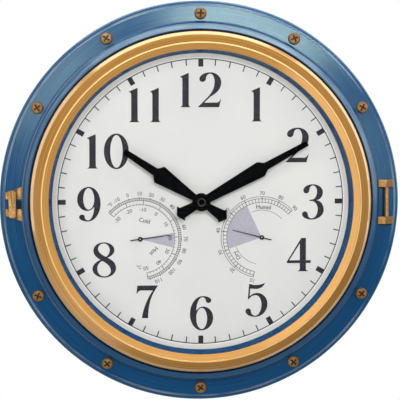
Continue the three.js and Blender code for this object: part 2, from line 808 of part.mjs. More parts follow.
// Wheel teeth are pointed, and pinion leaves have a flat tip and root, given as shares of the pitch.
// Phase is the angle of one tooth.
function gearShape(teeth, module, phase, tipShare = 0, rootShare = 0) {
  const pitchRadius = teeth * module / 2;
  const tip = pitchRadius + addendum * module;
  const root = pitchRadius - dedendum * module;
  const pitch = 2 * Math.PI / teeth;
  const points = [];
  const add = (radius, angle) => points.push([radius * Math.cos(angle), radius * Math.sin(angle)]);
  for (let i = 0; i < teeth; i += 1) {
    const angle = phase + i * pitch;
    add(tip, angle - tipShare * pitch);
    if (tipShare > 0) add(tip, angle + tipShare * pitch);
    add(root, angle + (0.5 - rootShare) * pitch);
    if (rootShare > 0) add(root, angle + (0.5 + rootShare) * pitch);
  }
  return outlineOf(points);
}

const wheel = (teeth, module, phase, rear) => slab(gearShape(teeth, module, phase), rear, wheelThickness);
const pinion = (teeth, module, phase, rear) => slab(
  gearShape(teeth, module, phase, leafTip, leafRoot), rear, wheelThickness,
);

// Phase of a gear that meets another one, in the direction from the other to it
function meshedPhase(direction, otherTeeth, otherPhase, teeth) {
  const otherPitch = 2 * Math.PI / otherTeeth;
  const pitch = 2 * Math.PI / teeth;
  const passed = (direction - otherPhase) / otherPitch;
  return direction + Math.PI - pitch * (0.5 - passed);
}

const level = (n) => firstLevel + n * levelStep;
const bridgeRear = level(3) + wheelThickness + bridgeGap;
const bridgeFront = bridgeRear + bridgeThickness;
const motionLevel = bridgeFront + bridgeGap;
const hourLevel = motionLevel + wheelThickness + motionGap;
const centreDistance = (module, a, b) => module * (a + b) / 2;
const fifthDistance = centreDistance(secondModule, fifthLeaves, secondTeeth);
const fifthPlace = { x: fifthDistance * Math.SQRT1_2, z: fifthDistance * Math.SQRT1_2 };
const rotorRise = centreDistance(rotorModule, rotorLeaves, fifthTeeth);
const rotorPlace = { x: fifthPlace.x, z: fifthPlace.z + rotorRise };
const thirdDistance = centreDistance(thirdModule, secondLeaves, thirdTeeth);
const thirdPlace = { x: -thirdDistance * Math.SQRT1_2, z: thirdDistance * Math.SQRT1_2 };
const centreModule = 2 * thirdDistance / (thirdLeaves + centreTeeth);
const motionPlace = { x: -centreDistance(motionModule, cannonTeeth, motionTeeth), z: 0 };
const settingPlace = { x: motionPlace.x - centreDistance(settingModule, motionTeeth, settingTeeth), z: 0 };
const coilZ = rotorPlace.z + statorAbove + coilStatorGap + coilRadius;
const trainTop = coilZ + coilRadius + coilTopGap;
const movementTop = trainTop + movementWall;
const doorHalf = Math.max(movementHalf, movementTop, -movementBottom) + doorBorder;
const pillars = [
  { x: bridgeLeft + pillarInset, z: bridgeBottom + pillarInset },
  { x: bridgeRight - pillarInset, z: bridgeBottom + pillarInset },
  { x: rotorPlace.x - pillarFromRotor, z: rotorPlace.z },
];
const directionOf = (from, to) => Math.atan2(to.z - from.z, to.x - from.x);
const centre = { x: 0, z: 0 };

function makeTrain(movement) {
  const pivots = (bodyRadius, front) => [
    [pivotRadius, rearBearing + seatGap], [bodyRadius, front - seatGap], [pivotRadius, front + pivotReach],
  ];
  const rear = rearBearing - pivotReach;

  const rotorPhase = directionOf(rotorPlace, fifthPlace);
  const magnetRear = level(1) - 0.1;
  const rotor = turned(rear, pivots(arborRadius, bridgeRear))
    .add(pinion(rotorLeaves, rotorModule, rotorPhase, level(0)))
    .add(rod(rotorMagnetRadius, magnetRear, magnetRear + rotorMagnetLength, smallSides));
  addPiece('rotor', rotor, steel(), groupAt(rotorPlace.x, rotorPlace.z, movement));

  const fifthPhase = meshedPhase(rotorPhase, rotorLeaves, rotorPhase, fifthTeeth);
  const fifthPinionPhase = directionOf(fifthPlace, centre);
  const fifth = turned(rear, pivots(arborRadius, bridgeRear))
    .add(wheel(fifthTeeth, rotorModule, fifthPhase, level(0)))
    .add(pinion(fifthLeaves, secondModule, fifthPinionPhase, level(1)));
  addPiece('fifth_wheel', fifth, whitePlastic(), groupAt(fifthPlace.x, fifthPlace.z, movement));

  const shaftRear = level(3) - seatGap - shaftFlangeThickness;
  const secondPhase = meshedPhase(fifthPinionPhase, fifthLeaves, fifthPinionPhase, secondTeeth);
  const secondPinionPhase = directionOf(centre, thirdPlace);
  const second = turned(rear, [
    [pivotRadius, rearBearing + seatGap],
    [arborRadius, shaftRear - seatGap],
    [pivotRadius, shaftRear + shaftSocket],
  ])
    .add(wheel(secondTeeth, secondModule, secondPhase, level(1)))
    .add(pinion(secondLeaves, thirdModule, secondPinionPhase, level(2)));
  addPiece('second_wheel', second, whitePlastic(), movement);

  const thirdPhase = meshedPhase(secondPinionPhase, secondLeaves, secondPinionPhase, thirdTeeth);
  const thirdPinionPhase = directionOf(thirdPlace, centre);
  const third = turned(rear, pivots(arborRadius, bridgeRear))
    .add(wheel(thirdTeeth, thirdModule, thirdPhase, level(2)))
    .add(pinion(thirdLeaves, centreModule, thirdPinionPhase, level(3)));
  addPiece('third_wheel', third, whitePlastic(), groupAt(thirdPlace.x, thirdPlace.z, movement));

  const centrePhase = meshedPhase(thirdPinionPhase, thirdLeaves, thirdPinionPhase, centreTeeth);
  const centreWheel = wheel(centreTeeth, centreModule, centrePhase, level(3))
    .subtract(rod(minuteShaftRadius + pivotGap, 0, movementFront));
  addPiece('centre_wheel', centreWheel, whitePlastic(), movement);

  const cannonPhase = directionOf(centre, motionPlace);
  const shaftFront = minuteHandRear + handThickness + handNutBore;
  const minuteShaft = turned(shaftRear, [
    [minuteShaftRadius + shaftFlange, level(3) - seatGap],
    [minuteShaftRadius, minuteHandRear - seatGap - handSeatThickness],
    [minuteShaftRadius + handSeat, minuteHandRear - seatGap],
    [minuteShaftRadius, shaftFront],
  ])
    .add(pinion(cannonTeeth, motionModule, cannonPhase, motionLevel))
    .subtract(rod(minuteShaftBore, shaftRear - 1, shaftRear + shaftSocket + seatGap));
  addPiece('minute_shaft', minuteShaft, steel(), movement);

  const motionPhase = meshedPhase(cannonPhase, cannonTeeth, cannonPhase, motionTeeth);
  const motionPinionPhase = directionOf(motionPlace, centre);
  const motion = turned(bridgeRear + 0.1, [
    [pivotRadius, bridgeFront + seatGap], [stoutArborRadius, frontBearing - seatGap],
    [pivotRadius, frontBearing + pivotReach],
  ])
    .add(wheel(motionTeeth, motionModule, motionPhase, motionLevel))
    .add(pinion(motionLeaves, hourModule, motionPinionPhase, hourLevel));
  addPiece('motion_wheel', motion, whitePlastic(), groupAt(motionPlace.x, motionPlace.z, movement));

  const hourPhase = meshedPhase(motionPinionPhase, motionLeaves, motionPinionPhase, hourTeeth);
  const pipeFront = hourHandRear + handThickness + seatGap;
  const hourWheel = wheel(hourTeeth, hourModule, hourPhase, hourLevel)
    .add(rod(hourPipeRadius, hourLevel, pipeFront, smallSides))
    .subtract(rod(minuteShaftRadius + pivotGap, 0, pipeFront + 1, smallSides));
  addPiece('hour_wheel', hourWheel, whitePlastic(), movement);

  const settingGroup = groupAt(settingPlace.x, settingPlace.z, movement);
  const outwards = directionOf(motionPlace, settingPlace);
  const settingPhase = meshedPhase(outwards, motionTeeth, motionPhase, settingTeeth);
  const knobRear = movementRear - seatGap - knobThickness;
  const setting = turned(knobRear + knobFloor + seatGap, [
    [stoutArborRadius, frontBearing - seatGap], [pivotRadius, frontBearing + pivotReach],
  ]).add(wheel(settingTeeth, settingModule, settingPhase, motionLevel));
  addPiece('setting_wheel', setting, whitePlastic(), settingGroup);
  const knob = slab(outlineOf(Array.from({ length: 2 * knobRibs }, (_, i) => {
    const angle = Math.PI * i / knobRibs;
    const radius = i % 2 === 0 ? knobRadius : knobRadius - knobRibDepth;
    return [radius * Math.cos(angle), radius * Math.sin(angle)];
  })), knobRear, knobThickness)
    .subtract(rod(stoutArborRadius + seatGap, knobRear + knobFloor, movementFront));
  addPiece('setting_knob', knob, whitePlastic(), settingGroup);
}

function makeBridge(movement) {
  let bridge = slab(outlineOf([
    [bridgeLeft, bridgeBottom], [bridgeRight, bridgeBottom], [bridgeRight, bridgeTop],
    [bridgeLeft + bridgeCutX, bridgeTop], [bridgeLeft, bridgeTop - bridgeCutZ],
  ]), bridgeRear, bridgeThickness);
  for (const pillar of pillars) {
    const post = rod(pillarRadius, rearBearing + seatGap, bridgeRear + 0.3);
    bridge = bridge.add(moved(post, pillar.x, pillar.z));
  }
  const holes = [
    [centre, minuteShaftRadius + pivotGap + 0.1], [thirdPlace, pivotRadius + pivotGap],
    [fifthPlace, pivotRadius + pivotGap], [rotorPlace, pivotRadius + pivotGap],
    [motionPlace, pivotRadius + pivotGap],
  ];
  for (const [place, radius] of holes) {
    bridge = bridge.subtract(moved(rod(radius, bridgeRear - 0.5, bridgeFront + 0.5), place.x, place.z));
  }
  addPiece('train_bridge', bridge, steel(), movement);
}

function makeDrive(movement) {
  const statorRear = level(1) + wheelThickness + seatGap;
  const { x, z } = rotorPlace;
  const boardLeft = boardSideGap - movementInner;
  const boardRight = boardLeft + boardWidth;
  const left = boardRight + boardGap;
  const right = movementInner - statorRightGap;
  const low = z - statorBelow;
  const high = z + statorAbove;
  const earTop = coilZ + coreHalf + coreCover;
  const throat = rotorMagnetRadius + statorAirGap;
  const stator = slab(outlineOf([
    [left, low], [x - throat, low], [x - throat + statorBulge, low - statorBulge],
    [x + throat - statorBulge, low - statorBulge], [x + throat, low], [right, low],
    [right, earTop], [right - statorEar, earTop], [right - statorEar, high],
    [left + statorEar, high], [left + statorEar, earTop], [left, earTop],
  ]), statorRear, statorThickness)
    .subtract(moved(rod(throat, 0, movementFront, smallSides), x, z))
    .subtract(moved(rod(pillarRadius + pivotGap, 0, movementFront), pillars[2].x, pillars[2].z));
  addPiece('stator', stator, steel(), movement);

  const coreRear = statorRear + statorThickness + seatGap;
  const coreFront = coreRear + coreThickness;
  const core = block(left, right, coilZ - coreHalf, coilZ + coreHalf, coreRear, coreFront);
  addPiece('coil_core', core, steel(), movement);

  const windingLength = right - left - coilShort;
  const winding = new THREE.CylinderGeometry(coilRadius, coilRadius, windingLength, 2 * shaftSides);
  winding.rotateZ(Math.PI / 2);
  winding.translate((left + right) / 2, -(coreRear + coreFront) / 2, coilZ);
  const passage = coreHalf + seatGap;
  const coil = toSolid(winding)
    .subtract(block(left, right, coilZ - passage, coilZ + passage, coreRear - seatGap, coreFront + seatGap));
  addPiece('coil', coil, finish(0xb26a38, 0.4, 0.6), movement);

  const boardRear = rearBearing + boardLift;
  const boardFront = boardRear + boardThickness;
  const boardMiddle = (boardLeft + boardRight) / 2;
  const boardBottom = trainTop - boardTopGap - boardHeight;
  const chipZ = boardBottom + 0.75 * boardHeight;
  const board = block(boardLeft, boardRight, boardBottom, boardBottom + boardHeight, boardRear, boardFront)
    .add(moved(rod(chipRadius, boardRear, boardFront + chipHeight, smallSides), boardMiddle, chipZ));
  addPiece('circuit_board', board, finish(0x2f6b3d, 0.5, 0), movement);
  const can = new THREE.CylinderGeometry(crystalRadius, crystalRadius, crystalLength, smallSides);
  can.rotateX(Math.PI / 2);
  can.translate(boardMiddle, -boardFront - seatGap - crystalRadius, boardBottom + 0.3 * boardHeight);
  addPiece('quartz_crystal', toSolid(can), steel(), movement);
}

function makeMovementCase(movement) {
  const half = movementHalf;
  const inner = movementInner;
  let rearCase = block(-half, half, movementBottom, movementTop, movementRear, movementSplit)
    .subtract(block(-inner, inner, bayTop, trainTop, rearBearing, movementSplit + 1))
    .subtract(block(-inner, inner, bayBottom, bayTop - bayWall, 0, movementSplit + 1))
    .subtract(moved(rod(stoutArborRadius + pivotGap, 0, rearBearing + 1), settingPlace.x, settingPlace.z));
  for (const place of [centre, thirdPlace, fifthPlace, rotorPlace]) {
    const hole = rod(pivotRadius + pivotGap, rearBearing - pivotDepth, rearBearing + 1);
    rearCase = rearCase.subtract(moved(hole, place.x, place.z));
  }
  addPiece('movement_case_rear', rearCase, blackPlastic(), movement);

  let frontCase = block(-half, half, movementBottom, movementTop, movementSplit + seatGap, movementFront)
    .subtract(block(-inner, inner, bayTop, trainTop, 0, frontBearing))
    .subtract(block(-inner, inner, bayBottom, bayTop - bayWall, 0, frontBearing))
    .add(rod(collarRadius, frontBearing, collarFront, smallSides))
    .subtract(rod(collarBore, 0, collarFront + 1, smallSides));
  for (const place of [motionPlace, settingPlace]) {
    const hole = rod(pivotRadius + pivotGap, 0, frontBearing + pivotDepth);
    frontCase = frontCase.subtract(moved(hole, place.x, place.z));
  }
  addPiece('movement_case_front', frontCase, blackPlastic(), movement);
}

function makeDialFixing(movement) {
  const washerRear = dialFront + seatGap;
  const bore = rod(collarRadius + seatGap, 0, 2 * collarFront, smallSides);
  const washer = rod(washerRadius, washerRear, washerRear + washerThickness, 2 * smallSides);
  addPiece('dial_washer', washer.subtract(bore), brass(), movement);
  const nutRear = washerRear + washerThickness + nutGap;
  const nut = rod(nutRadius, nutRear, nutRear + nutThickness, 6).subtract(bore);
  addPiece('dial_nut', nut, brass(), movement);
}

function makeBattery(movement) {
  const half = batteryLength / 2;
  const cell = new THREE.LatheGeometry([
    new THREE.Vector2(0, -half),
    new THREE.Vector2(batteryRadius - batteryEdge, -half),
    new THREE.Vector2(batteryRadius, -half + batteryEdge),
    new THREE.Vector2(batteryRadius, half - batteryEdge),
    new THREE.Vector2(batteryRadius - batteryEdge, half),
    new THREE.Vector2(batteryNubRadius, half),
    new THREE.Vector2(batteryNubRadius, half + batteryNubLength),
    new THREE.Vector2(0, half + batteryNubLength),
  ], 2 * shaftSides);
  cell.rotateZ(-Math.PI / 2);
  cell.translate(seatGap - batteryNubLength / 2, -batteryFront, batteryZ);
  addPiece('battery', toSolid(cell), finish(0x4c5258, 0.35, 0.5), movement);

  const wall = movementInner;
  const positive = block(wall - seatGap - contactThickness, wall - seatGap,
    batteryZ - contactHalf, batteryZ + contactHalf, contactRear, contactFront);
  addPiece('battery_contact_positive', positive, steel(), movement);
  const leaf = outlineOf([
    [0, -contactHalf], [contactThickness, -contactHalf], [contactThickness, contactHalf - 1.4],
    [contactSpring - 0.3, 0.2], [contactSpring, 0.4], [contactThickness + 0.15, contactHalf],
    [0, contactHalf],
  ].map(([x, z]) => [x - wall + seatGap, z + batteryZ]));
  const negative = slab(leaf, contactRear, contactFront - contactRear);
  addPiece('battery_contact_negative', negative, steel(), movement);
}

// Hands

function handShape(hand, angle) {
  const meet = (half) => Math.sqrt(handHubRadius ** 2 - half ** 2);
  const upper = [
    [meet(hand.rootHalf), hand.rootHalf], [hand.shoulder, hand.shoulderHalf],
    [hand.neck, hand.neckHalf], [hand.tip, hand.tipHalf],
  ];
  const tail = [
    [-meet(hand.rootHalf), hand.rootHalf], [-hand.tailNotch, hand.tailNotchHalf],
    [-hand.tailBarb, hand.tailBarbHalf], [-hand.tailEnd, 0],
  ];
  const mirror = (points) => points.map(([along, across]) => [along, -across]).reverse();
  const blade = [...upper, ...mirror(upper)];
  const counter = [...tail, ...mirror(tail.slice(0, 3))];
  const turn = ([along, across]) => [
    along * Math.cos(angle) - across * Math.sin(angle), along * Math.sin(angle) + across * Math.cos(angle),
  ];
  return [outlineOf(blade.map(turn)), outlineOf(counter.map(turn))];
}

function makeHand(name, hand, angle, rear, boreRadius) {
  const [blade, counter] = handShape(hand, angle);
  const solid = slab(blade, rear, handThickness)
    .add(slab(counter, rear, handThickness))
    .add(rod(handHubRadius, rear, rear + handThickness, 2 * smallSides))
    .subtract(rod(boreRadius, 0, 2 * rear, smallSides));
  addPiece(name, solid, blackPaint());
}

function makeHands() {
  makeHand('hour_hand', hourHand, hourHandAngle, hourHandRear, hourPipeRadius + pivotGap);
  makeHand('minute_hand', minuteHand, minuteHandAngle, minuteHandRear, minuteShaftRadius + pivotGap);
  const nutRear = minuteHandRear + handThickness + seatGap;
  const nut = turned(nutRear, [[handNutRadius, nutRear + handNutThickness]], 2 * smallSides)
    .subtract(rod(minuteShaftRadius + pivotGap, 0, nutRear + handNutThickness - 0.6));
  addPiece('hand_nut', nut, blackPaint());
}

// Gauges behind the dial: a spiral strip on a bracket turns an arbor with a pointer

function spiralShape() {
  const steps = Math.round(coilTurns * coilStepsPerTurn);
  const side = (offset) => Array.from({ length: steps + 1 }, (_, i) => {
    const angle = 2 * Math.PI * i / coilStepsPerTurn;
    const radius = coilInner + (coilOuter - coilInner) * i / steps + offset;
    return [radius * Math.cos(angle), radius * Math.sin(angle)];
  });
  return outlineOf([...side(0), ...side(coilStrip).reverse()]);
}

function pointerShape(angle) {
  const points = [
    [pointerEyelet * 0.9, pointerHalf], [pointerTip, pointerTipHalf],
    [pointerTip, -pointerTipHalf], [pointerEyelet * 0.9, -pointerHalf],
  ];
  const tail = [
    [-pointerEyelet * 0.9, -pointerHalf], [-pointerTail, -pointerHalf],
    [-pointerTail, pointerHalf], [-pointerEyelet * 0.9, pointerHalf],
  ];
  const turn = ([along, across]) => [
    along * Math.cos(angle) - across * Math.sin(angle), along * Math.sin(angle) + across * Math.cos(angle),
  ];
  return [outlineOf(points.map(turn)), outlineOf(tail.map(turn))];
}

function makeGauge({ name, x, z, pointer }) {
  const group = groupAt(x, z);
  const bracketFront = bracketRear + bracketThickness;
  const pillarFront = dialRear - seatGap;
  let bracket = rod(bracketRadius, bracketRear, bracketFront, 2 * smallSides)
    .subtract(rod(gaugePivotRadius + pivotGap, 0, bracketFront + 1));
  const pillar = rod(bracketPillar, bracketRear, pillarFront);
  const pillarPlace = bracketRadius - bracketPillar;
  for (const side of [-1, 1]) bracket = bracket.add(moved(pillar, side * pillarPlace, 0));
  addPiece(`${name}_bracket`, bracket, steel(), group);
  addPiece(`${name}_coil`, slab(spiralShape(), coilRear, coilHeight), brass(), group);
  const arbor = turned(bracketRear + 0.2, [
    [gaugePivotRadius, bracketFront + seatGap],
    [gaugeArborRadius, pointerRear - seatGap],
    [gaugePivotRadius, pointerRear + pointerThickness],
  ]);
  addPiece(`${name}_arbor`, arbor, brass(), group);
  let needle = rod(pointerEyelet, pointerRear, pointerRear + pointerThickness, smallSides);
  for (const shape of pointerShape(pointer)) needle = needle.add(slab(shape, pointerRear, pointerThickness));
  const eye = rod(gaugePivotRadius + pivotGap, 0, 2 * pointerRear);
  addPiece(`${name}_pointer`, needle.subtract(eye), blackPaint(), group);
}

makeFrontFrame();
makeBezel();
makeLens();
makeDial();
makeRearHousing();
makeHanger();
makeBatteryDoor();
makeScrews();
makeCatch();
makeHinge();

const movement = groupAt(0, 0);
makeMovementCase(movement);
makeTrain(movement);
makeBridge(movement);
makeDrive(movement);
makeDialFixing(movement);
makeBattery(movement);
makeHands();
gauges.forEach(makeGauge);

export default clock;
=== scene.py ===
import json
import math

import bmesh
import bpy
from mathutils import Matrix, Vector


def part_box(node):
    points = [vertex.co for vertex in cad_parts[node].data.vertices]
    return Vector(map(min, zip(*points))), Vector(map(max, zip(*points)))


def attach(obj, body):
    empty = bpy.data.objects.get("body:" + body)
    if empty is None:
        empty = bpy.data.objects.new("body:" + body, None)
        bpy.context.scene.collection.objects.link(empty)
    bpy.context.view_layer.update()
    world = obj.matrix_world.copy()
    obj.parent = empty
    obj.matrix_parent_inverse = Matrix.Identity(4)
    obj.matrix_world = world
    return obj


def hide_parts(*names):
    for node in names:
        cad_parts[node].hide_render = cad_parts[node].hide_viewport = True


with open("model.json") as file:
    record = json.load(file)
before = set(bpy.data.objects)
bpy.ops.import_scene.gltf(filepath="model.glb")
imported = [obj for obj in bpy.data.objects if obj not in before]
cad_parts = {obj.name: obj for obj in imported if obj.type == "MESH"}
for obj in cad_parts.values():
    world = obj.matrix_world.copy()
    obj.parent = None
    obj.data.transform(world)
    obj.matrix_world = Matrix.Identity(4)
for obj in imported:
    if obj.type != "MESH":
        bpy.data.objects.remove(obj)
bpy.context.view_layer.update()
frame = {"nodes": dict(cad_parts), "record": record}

mm = 0.001
quarter = math.radians(90)
creaseAngle = math.radians(32)


# Shader maths

class Wire:
    # one output of a material's nodes, which can stand in sums

    def __init__(self, tree, out=None):
        self.tree = tree
        self.out = out

    def node(self, kind, settings=None, sockets=None, output=0):
        made = self.tree.nodes.new("ShaderNode" + kind)
        for name, value in (settings or {}).items():
            setattr(made, name, value)
        for key, value in (sockets or {}).items():
            if isinstance(value, Wire):
                self.tree.links.new(value.out, made.inputs[key])
            else:
                made.inputs[key].default_value = value
        return Wire(self.tree, made.outputs[output]) if len(made.outputs) else None

    def part(self, name):
        return Wire(self.tree, self.out.node.outputs[name])

    def axes(self):
        made = self.node("SeparateXYZ", None, {0: self})
        return [made.part(name) for name in "XYZ"]

    def sums(self, operation, first, second):
        return self.node("Math", {"operation": operation}, {0: first, 1: second})

    def __add__(self, other):
        return self.sums("ADD", self, other)

    __radd__ = __add__

    def __sub__(self, other):
        return self.sums("SUBTRACT", self, other)

    def __rsub__(self, other):
        return self.sums("SUBTRACT", other, self)

    def __mul__(self, other):
        return self.sums("MULTIPLY", self, other)

    __rmul__ = __mul__

    def __truediv__(self, other):
        return self.sums("DIVIDE", self, other)

    def __rtruediv__(self, other):
        return self.sums("DIVIDE", other, self)

    def __pow__(self, other):
        return self.sums("POWER", self, other)

    def larger(self, other):
        return self.sums("MAXIMUM", self, other)

    def rise(self, low, high):
        # 0 below low and 1 above high, or the other way round where low is the larger
        ends = {"Value": self, "From Min": low, "From Max": high}
        return self.node("MapRange", {"interpolation_type": "SMOOTHSTEP"}, ends)

    def beyond(self, edge, soft):
        # 1 past an edge in millimetres
        return self.rise((edge - soft) * mm, (edge + soft) * mm)

    def band(self, low, high, soft):
        return self.rise(low - soft, low + soft) * self.rise(high + soft, high - soft)

    def within(self, ends, soft):
        # 1 between two ends in millimetres
        return self.band(ends[0] * mm, ends[1] * mm, soft * mm)

    def tint(self, first, second):
        # the first colour where this mask is 0, the second where it is 1
        return self.node("Mix", {"data_type": "RGBA"}, {0: self, 6: first, 7: second}, 2)

    def scaled(self, x, y, z):
        return self.node("Mapping", None, {"Vector": self, "Scale": (x, y, z)})

    def grain(self, scale, detail, rough):
        sockets = {"Vector": self, "Scale": scale, "Detail": detail, "Roughness": rough}
        return self.node("TexNoise", None, sockets)


def shade(red, green, blue):
    # a screen colour of 0 to 255 as a linear one
    def linear(value):
        value = value / 255
        return value / 12.92 if value <= 0.04045 else ((value + 0.055) / 1.055) ** 2.4
    return (linear(red), linear(green), linear(blue), 1.0)


def newFinish(name):
    finish = bpy.data.materials.new(name)
    finish.use_nodes = True
    finish.node_tree.nodes.clear()
    place = Wire(finish.node_tree).node("TexCoord", None, None, "Object")
    return finish, place


def closeFinish(place, sockets, bump=None, depth=0.0, strength=0.0):
    if bump is not None:
        relief = {"Height": bump, "Distance": depth * mm, "Strength": strength}
        sockets["Normal"] = place.node("Bump", None, relief)
    shader = place.node("BsdfPrincipled", None, sockets)
    place.node("OutputMaterial", None, {"Surface": shader})


def ringPlace(place, around, across, through):
    # a place that runs round the clock's axis, stretched so that a noise on it looks brushed in circles,
    # then how far it is from the axis and from the wall, and its direction along X and Z
    x, y, z = place.axes()
    radius = ((x * x + z * z) ** 0.5).larger(0.0001)
    sockets = {0: x / radius * around, 1: radius * across, 2: z / radius * around + y * through}
    return place.node("CombineXYZ", None, sockets), radius, -1 * y, x / radius, z / radius


# Finishes. Noises are given as scale, detail and roughness, and the depth of a bump in millimetres.

# the brass trim on the flange, which the paint needs too, because a shadow of the trim is painted beside it
trim = {
    "plateStretch": 1.13, "plateShift": 0.4, "plateEdge": 0.3, "plateShade": 2.2, "catchTurn": -0.4,
    "barCorner": 2.3, "barEdge": 0.9, "lugStretch": 1.16, "lugShift": 1.0, "lugEdge": 0.5,
    "rodShift": 1.5, "rodRadius": 1.8,
}
seaPaint = {
    # the dust colour also paints a sheen on the upper half
    "base": shade(2, 66, 112), "deep": shade(1, 50, 95), "dustAndSheen": shade(78, 110, 130),
    # the pale grey is wear and also paints a highlight in the crease, and the darkest blue paints shade and
    # shadow
    "wearAndHighlight": shade(150, 160, 164), "paintedShade": shade(2, 16, 36), "rough": 0.2, "specular": 0.28,
    "sheen": (0.45, 0.8, 0.66, 1), "coat": 0.28, "coatRough": 0.22, "bump": (0.02, 0.5),
    "brush": (1.1, 900, 500), "strokes": (1.0, 5.0, 0.62), "fine": (3.1, 4.0, 0.6),
    "patches": (16, 3.0, 0.5), "specks": (420, 2.0, 0.5),
    # rings with wear, a paler step, and a crease with painted shade and a painted highlight, from one radius
    # to another, and how much
    "groove": (173.0, 174.8), "grooveWear": 0.7, "step": (153.0, 156.6), "stepUpperPale": 0.4,
    "crease": (157.7, 158.9), "creaseShade": 0.85,
    # how far the painted shadow beside the trim reaches
    "lugShade": 1.4, "rodShade": (-1.9, -0.3), "barShade": 5.0, "trimGrime": 0.8,
}


def trimGrime(x, z):
    # a shadow of the trim painted on the flange: under the lugs, left of the rod and right of the bar
    paintedShade = 0
    for side in ("upper", "lower"):
        low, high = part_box("hinge_block_" + side)
        under = z.band(low.z - seaPaint["lugShade"] * mm, low.z, 0.5 * mm)
        paintedShade = x.band(low.x, high.x, 0.4 * mm) * under * seaPaint["trimGrime"] + paintedShade
    low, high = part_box("hinge_rod")
    left, right = [low.x + (trim["rodShift"] + offset) * mm for offset in seaPaint["rodShade"]]
    paintedShade = x.band(left, right, 0.25 * mm) * z.band(low.z, high.z, 0.3 * mm) + paintedShade
    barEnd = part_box("keeper_bar")[1].x
    gap = z.band(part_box("keeper_plate_lower")[1].z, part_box("keeper_plate_upper")[0].z, 0.3 * mm)
    beside = x.band(barEnd - mm, barEnd + seaPaint["barShade"] * mm, 0.6 * mm)
    return beside * gap * seaPaint["trimGrime"] + paintedShade


def makeSeaPaint():
    paint = seaPaint
    finish, place = newFinish("sea_paint")
    strokes, radius, front, across, up = ringPlace(place, *paint["brush"])
    x, z = place.axes()[::2]
    brushed = strokes.grain(*paint["strokes"])
    fine = strokes.grain(*paint["fine"])
    patches = place.grain(*paint["patches"])
    specks = place.grain(*paint["specks"])
    base = brushed.rise(0.34, 0.66).tint(paint["deep"], paint["base"])
    # dust and a painted sheen on the upper half
    dustAndSheenMask = fine.rise(0.48, 0.72) * patches.rise(0.3, 0.62) * (up.rise(-0.7, 0.9) * 0.5 + 0.15)
    base = dustAndSheenMask.tint(base, paint["dustAndSheen"])
    # worn through on the crest of the rim's groove, and paler on the upper half of the step
    groove = radius.within(paint["groove"], 0.35) * front.rise(15.8 * mm, 16.6 * mm)
    step = radius.within(paint["step"], 1.1) * front.rise(26 * mm, 28 * mm)
    wearAndHighlight = groove * paint["grooveWear"] + step * up.rise(-0.9, 0.8) * paint["stepUpperPale"]
    wearAndHighlight = wearAndHighlight * fine.rise(0.36, 0.6) * patches.rise(0.3, 0.56)
    # a painted highlight on the left of the crease between the flange and the step
    crease = radius.within(paint["crease"], 0.3)
    wearAndHighlight = wearAndHighlight + crease * across.rise(-0.2, -0.8) * (fine * 0.3 + 0.25)
    base = wearAndHighlight.tint(base, paint["wearAndHighlight"])
    # painted shade in the rest of that crease, and the painted shadow beside the brass trim
    paintedShade = crease * across.rise(-0.9, 0.1) * paint["creaseShade"] + trimGrime(x, z)
    base = paintedShade.tint(base, paint["paintedShade"])
    closeFinish(place, {
        "Base Color": base, "Roughness": paint["rough"] + (brushed - 0.5) * 0.18 + wearAndHighlight * 0.2 + paintedShade * 0.6,
        "Specular IOR Level": paint["specular"], "Specular Tint": paint["sheen"],
        "Coat Roughness": paint["coatRough"], "Coat Weight": up.rise(-0.5, 0.6) * paint["coat"],
    }, brushed * 0.7 + fine * 0.35 + specks * 0.12 - wearAndHighlight * 0.4, *paint["bump"])
    return finish


brushedGold = {
    # the outer, middle and inner colours paint light and shade on the bezel's three slopes
    "outer": shade(162, 120, 48), "middle": shade(128, 82, 14), "inner": shade(174, 122, 46),
    # the crest colour is a painted highlight
    "pale": shade(190, 148, 76), "crestHighlight": shade(232, 192, 126), "rough": 0.26, "metal": 0.34,
    "specular": 0.2, "coat": 0.25, "outerCoat": 0.8, "innerCoat": 0.5, "coatRough": 0.14,
    "outerEdge": 147.8, "innerEdge": 140.2, "edgeSoft": 0.3, "crestHighlightRing": (140.3, 141.4),
    "brush": (0.9, 1500, 900), "strokes": (1.0, 5.0, 0.6), "clouds": (26, 3.0, 0.5), "bump": (0.03, 0.4),
}


def makeBrushedGold():
    gold = brushedGold
    finish, place = newFinish("brushed_gold")
    strokes, radius = ringPlace(place, *gold["brush"])[:2]
    brushed = strokes.grain(*gold["strokes"])
    cloudy = place.grain(*gold["clouds"])
    # its three slopes carry their own colours, which paint the light each slope catches: the middle one
    # darker, the outer and inner ones lighter
    outer = radius.beyond(gold["outerEdge"], gold["edgeSoft"])
    inner = 1 - radius.beyond(gold["innerEdge"], gold["edgeSoft"])
    base = inner.tint(outer.tint(gold["middle"], gold["outer"]), gold["inner"])
    coat = outer * (gold["outerCoat"] - gold["coat"]) + gold["coat"]
    coat = coat + inner * (gold["innerCoat"] - gold["coat"])
    base = (brushed.rise(0.3, 0.7) * 0.25 + cloudy * 0.15).tint(base, gold["pale"])
    # a painted highlight along the crest
    base = (radius.within(gold["crestHighlightRing"], 0.2) * (cloudy * 0.3 + 0.7)).tint(base, gold["crestHighlight"])
    closeFinish(place, {
        "Base Color": base, "Roughness": gold["rough"] + (brushed - 0.5) * 0.16,
        "Metallic": gold["metal"], "Coat Weight": coat,
        "Coat Roughness": gold["coatRough"], "Specular IOR Level": gold["specular"],
    }, brushed, *gold["bump"])
    return finish


agedBrass = {
    "base": shade(178, 136, 76), "dark": shade(136, 96, 46), "bright": shade(206, 168, 112),
    # the soot colour is tarnish, and painted shade where a piece's layer asks for it
    "sootAndShade": shade(52, 32, 12), "rough": 0.34, "metal": 0.4, "specular": 0.35, "mottle": (900, 4.0, 0.6),
    "drift": (160, 3.0, 0.5), "scratchScale": (300, 1600, 2600), "scratch": (1.0, 3.0, 0.6),
    "bump": (0.03, 0.5),
}


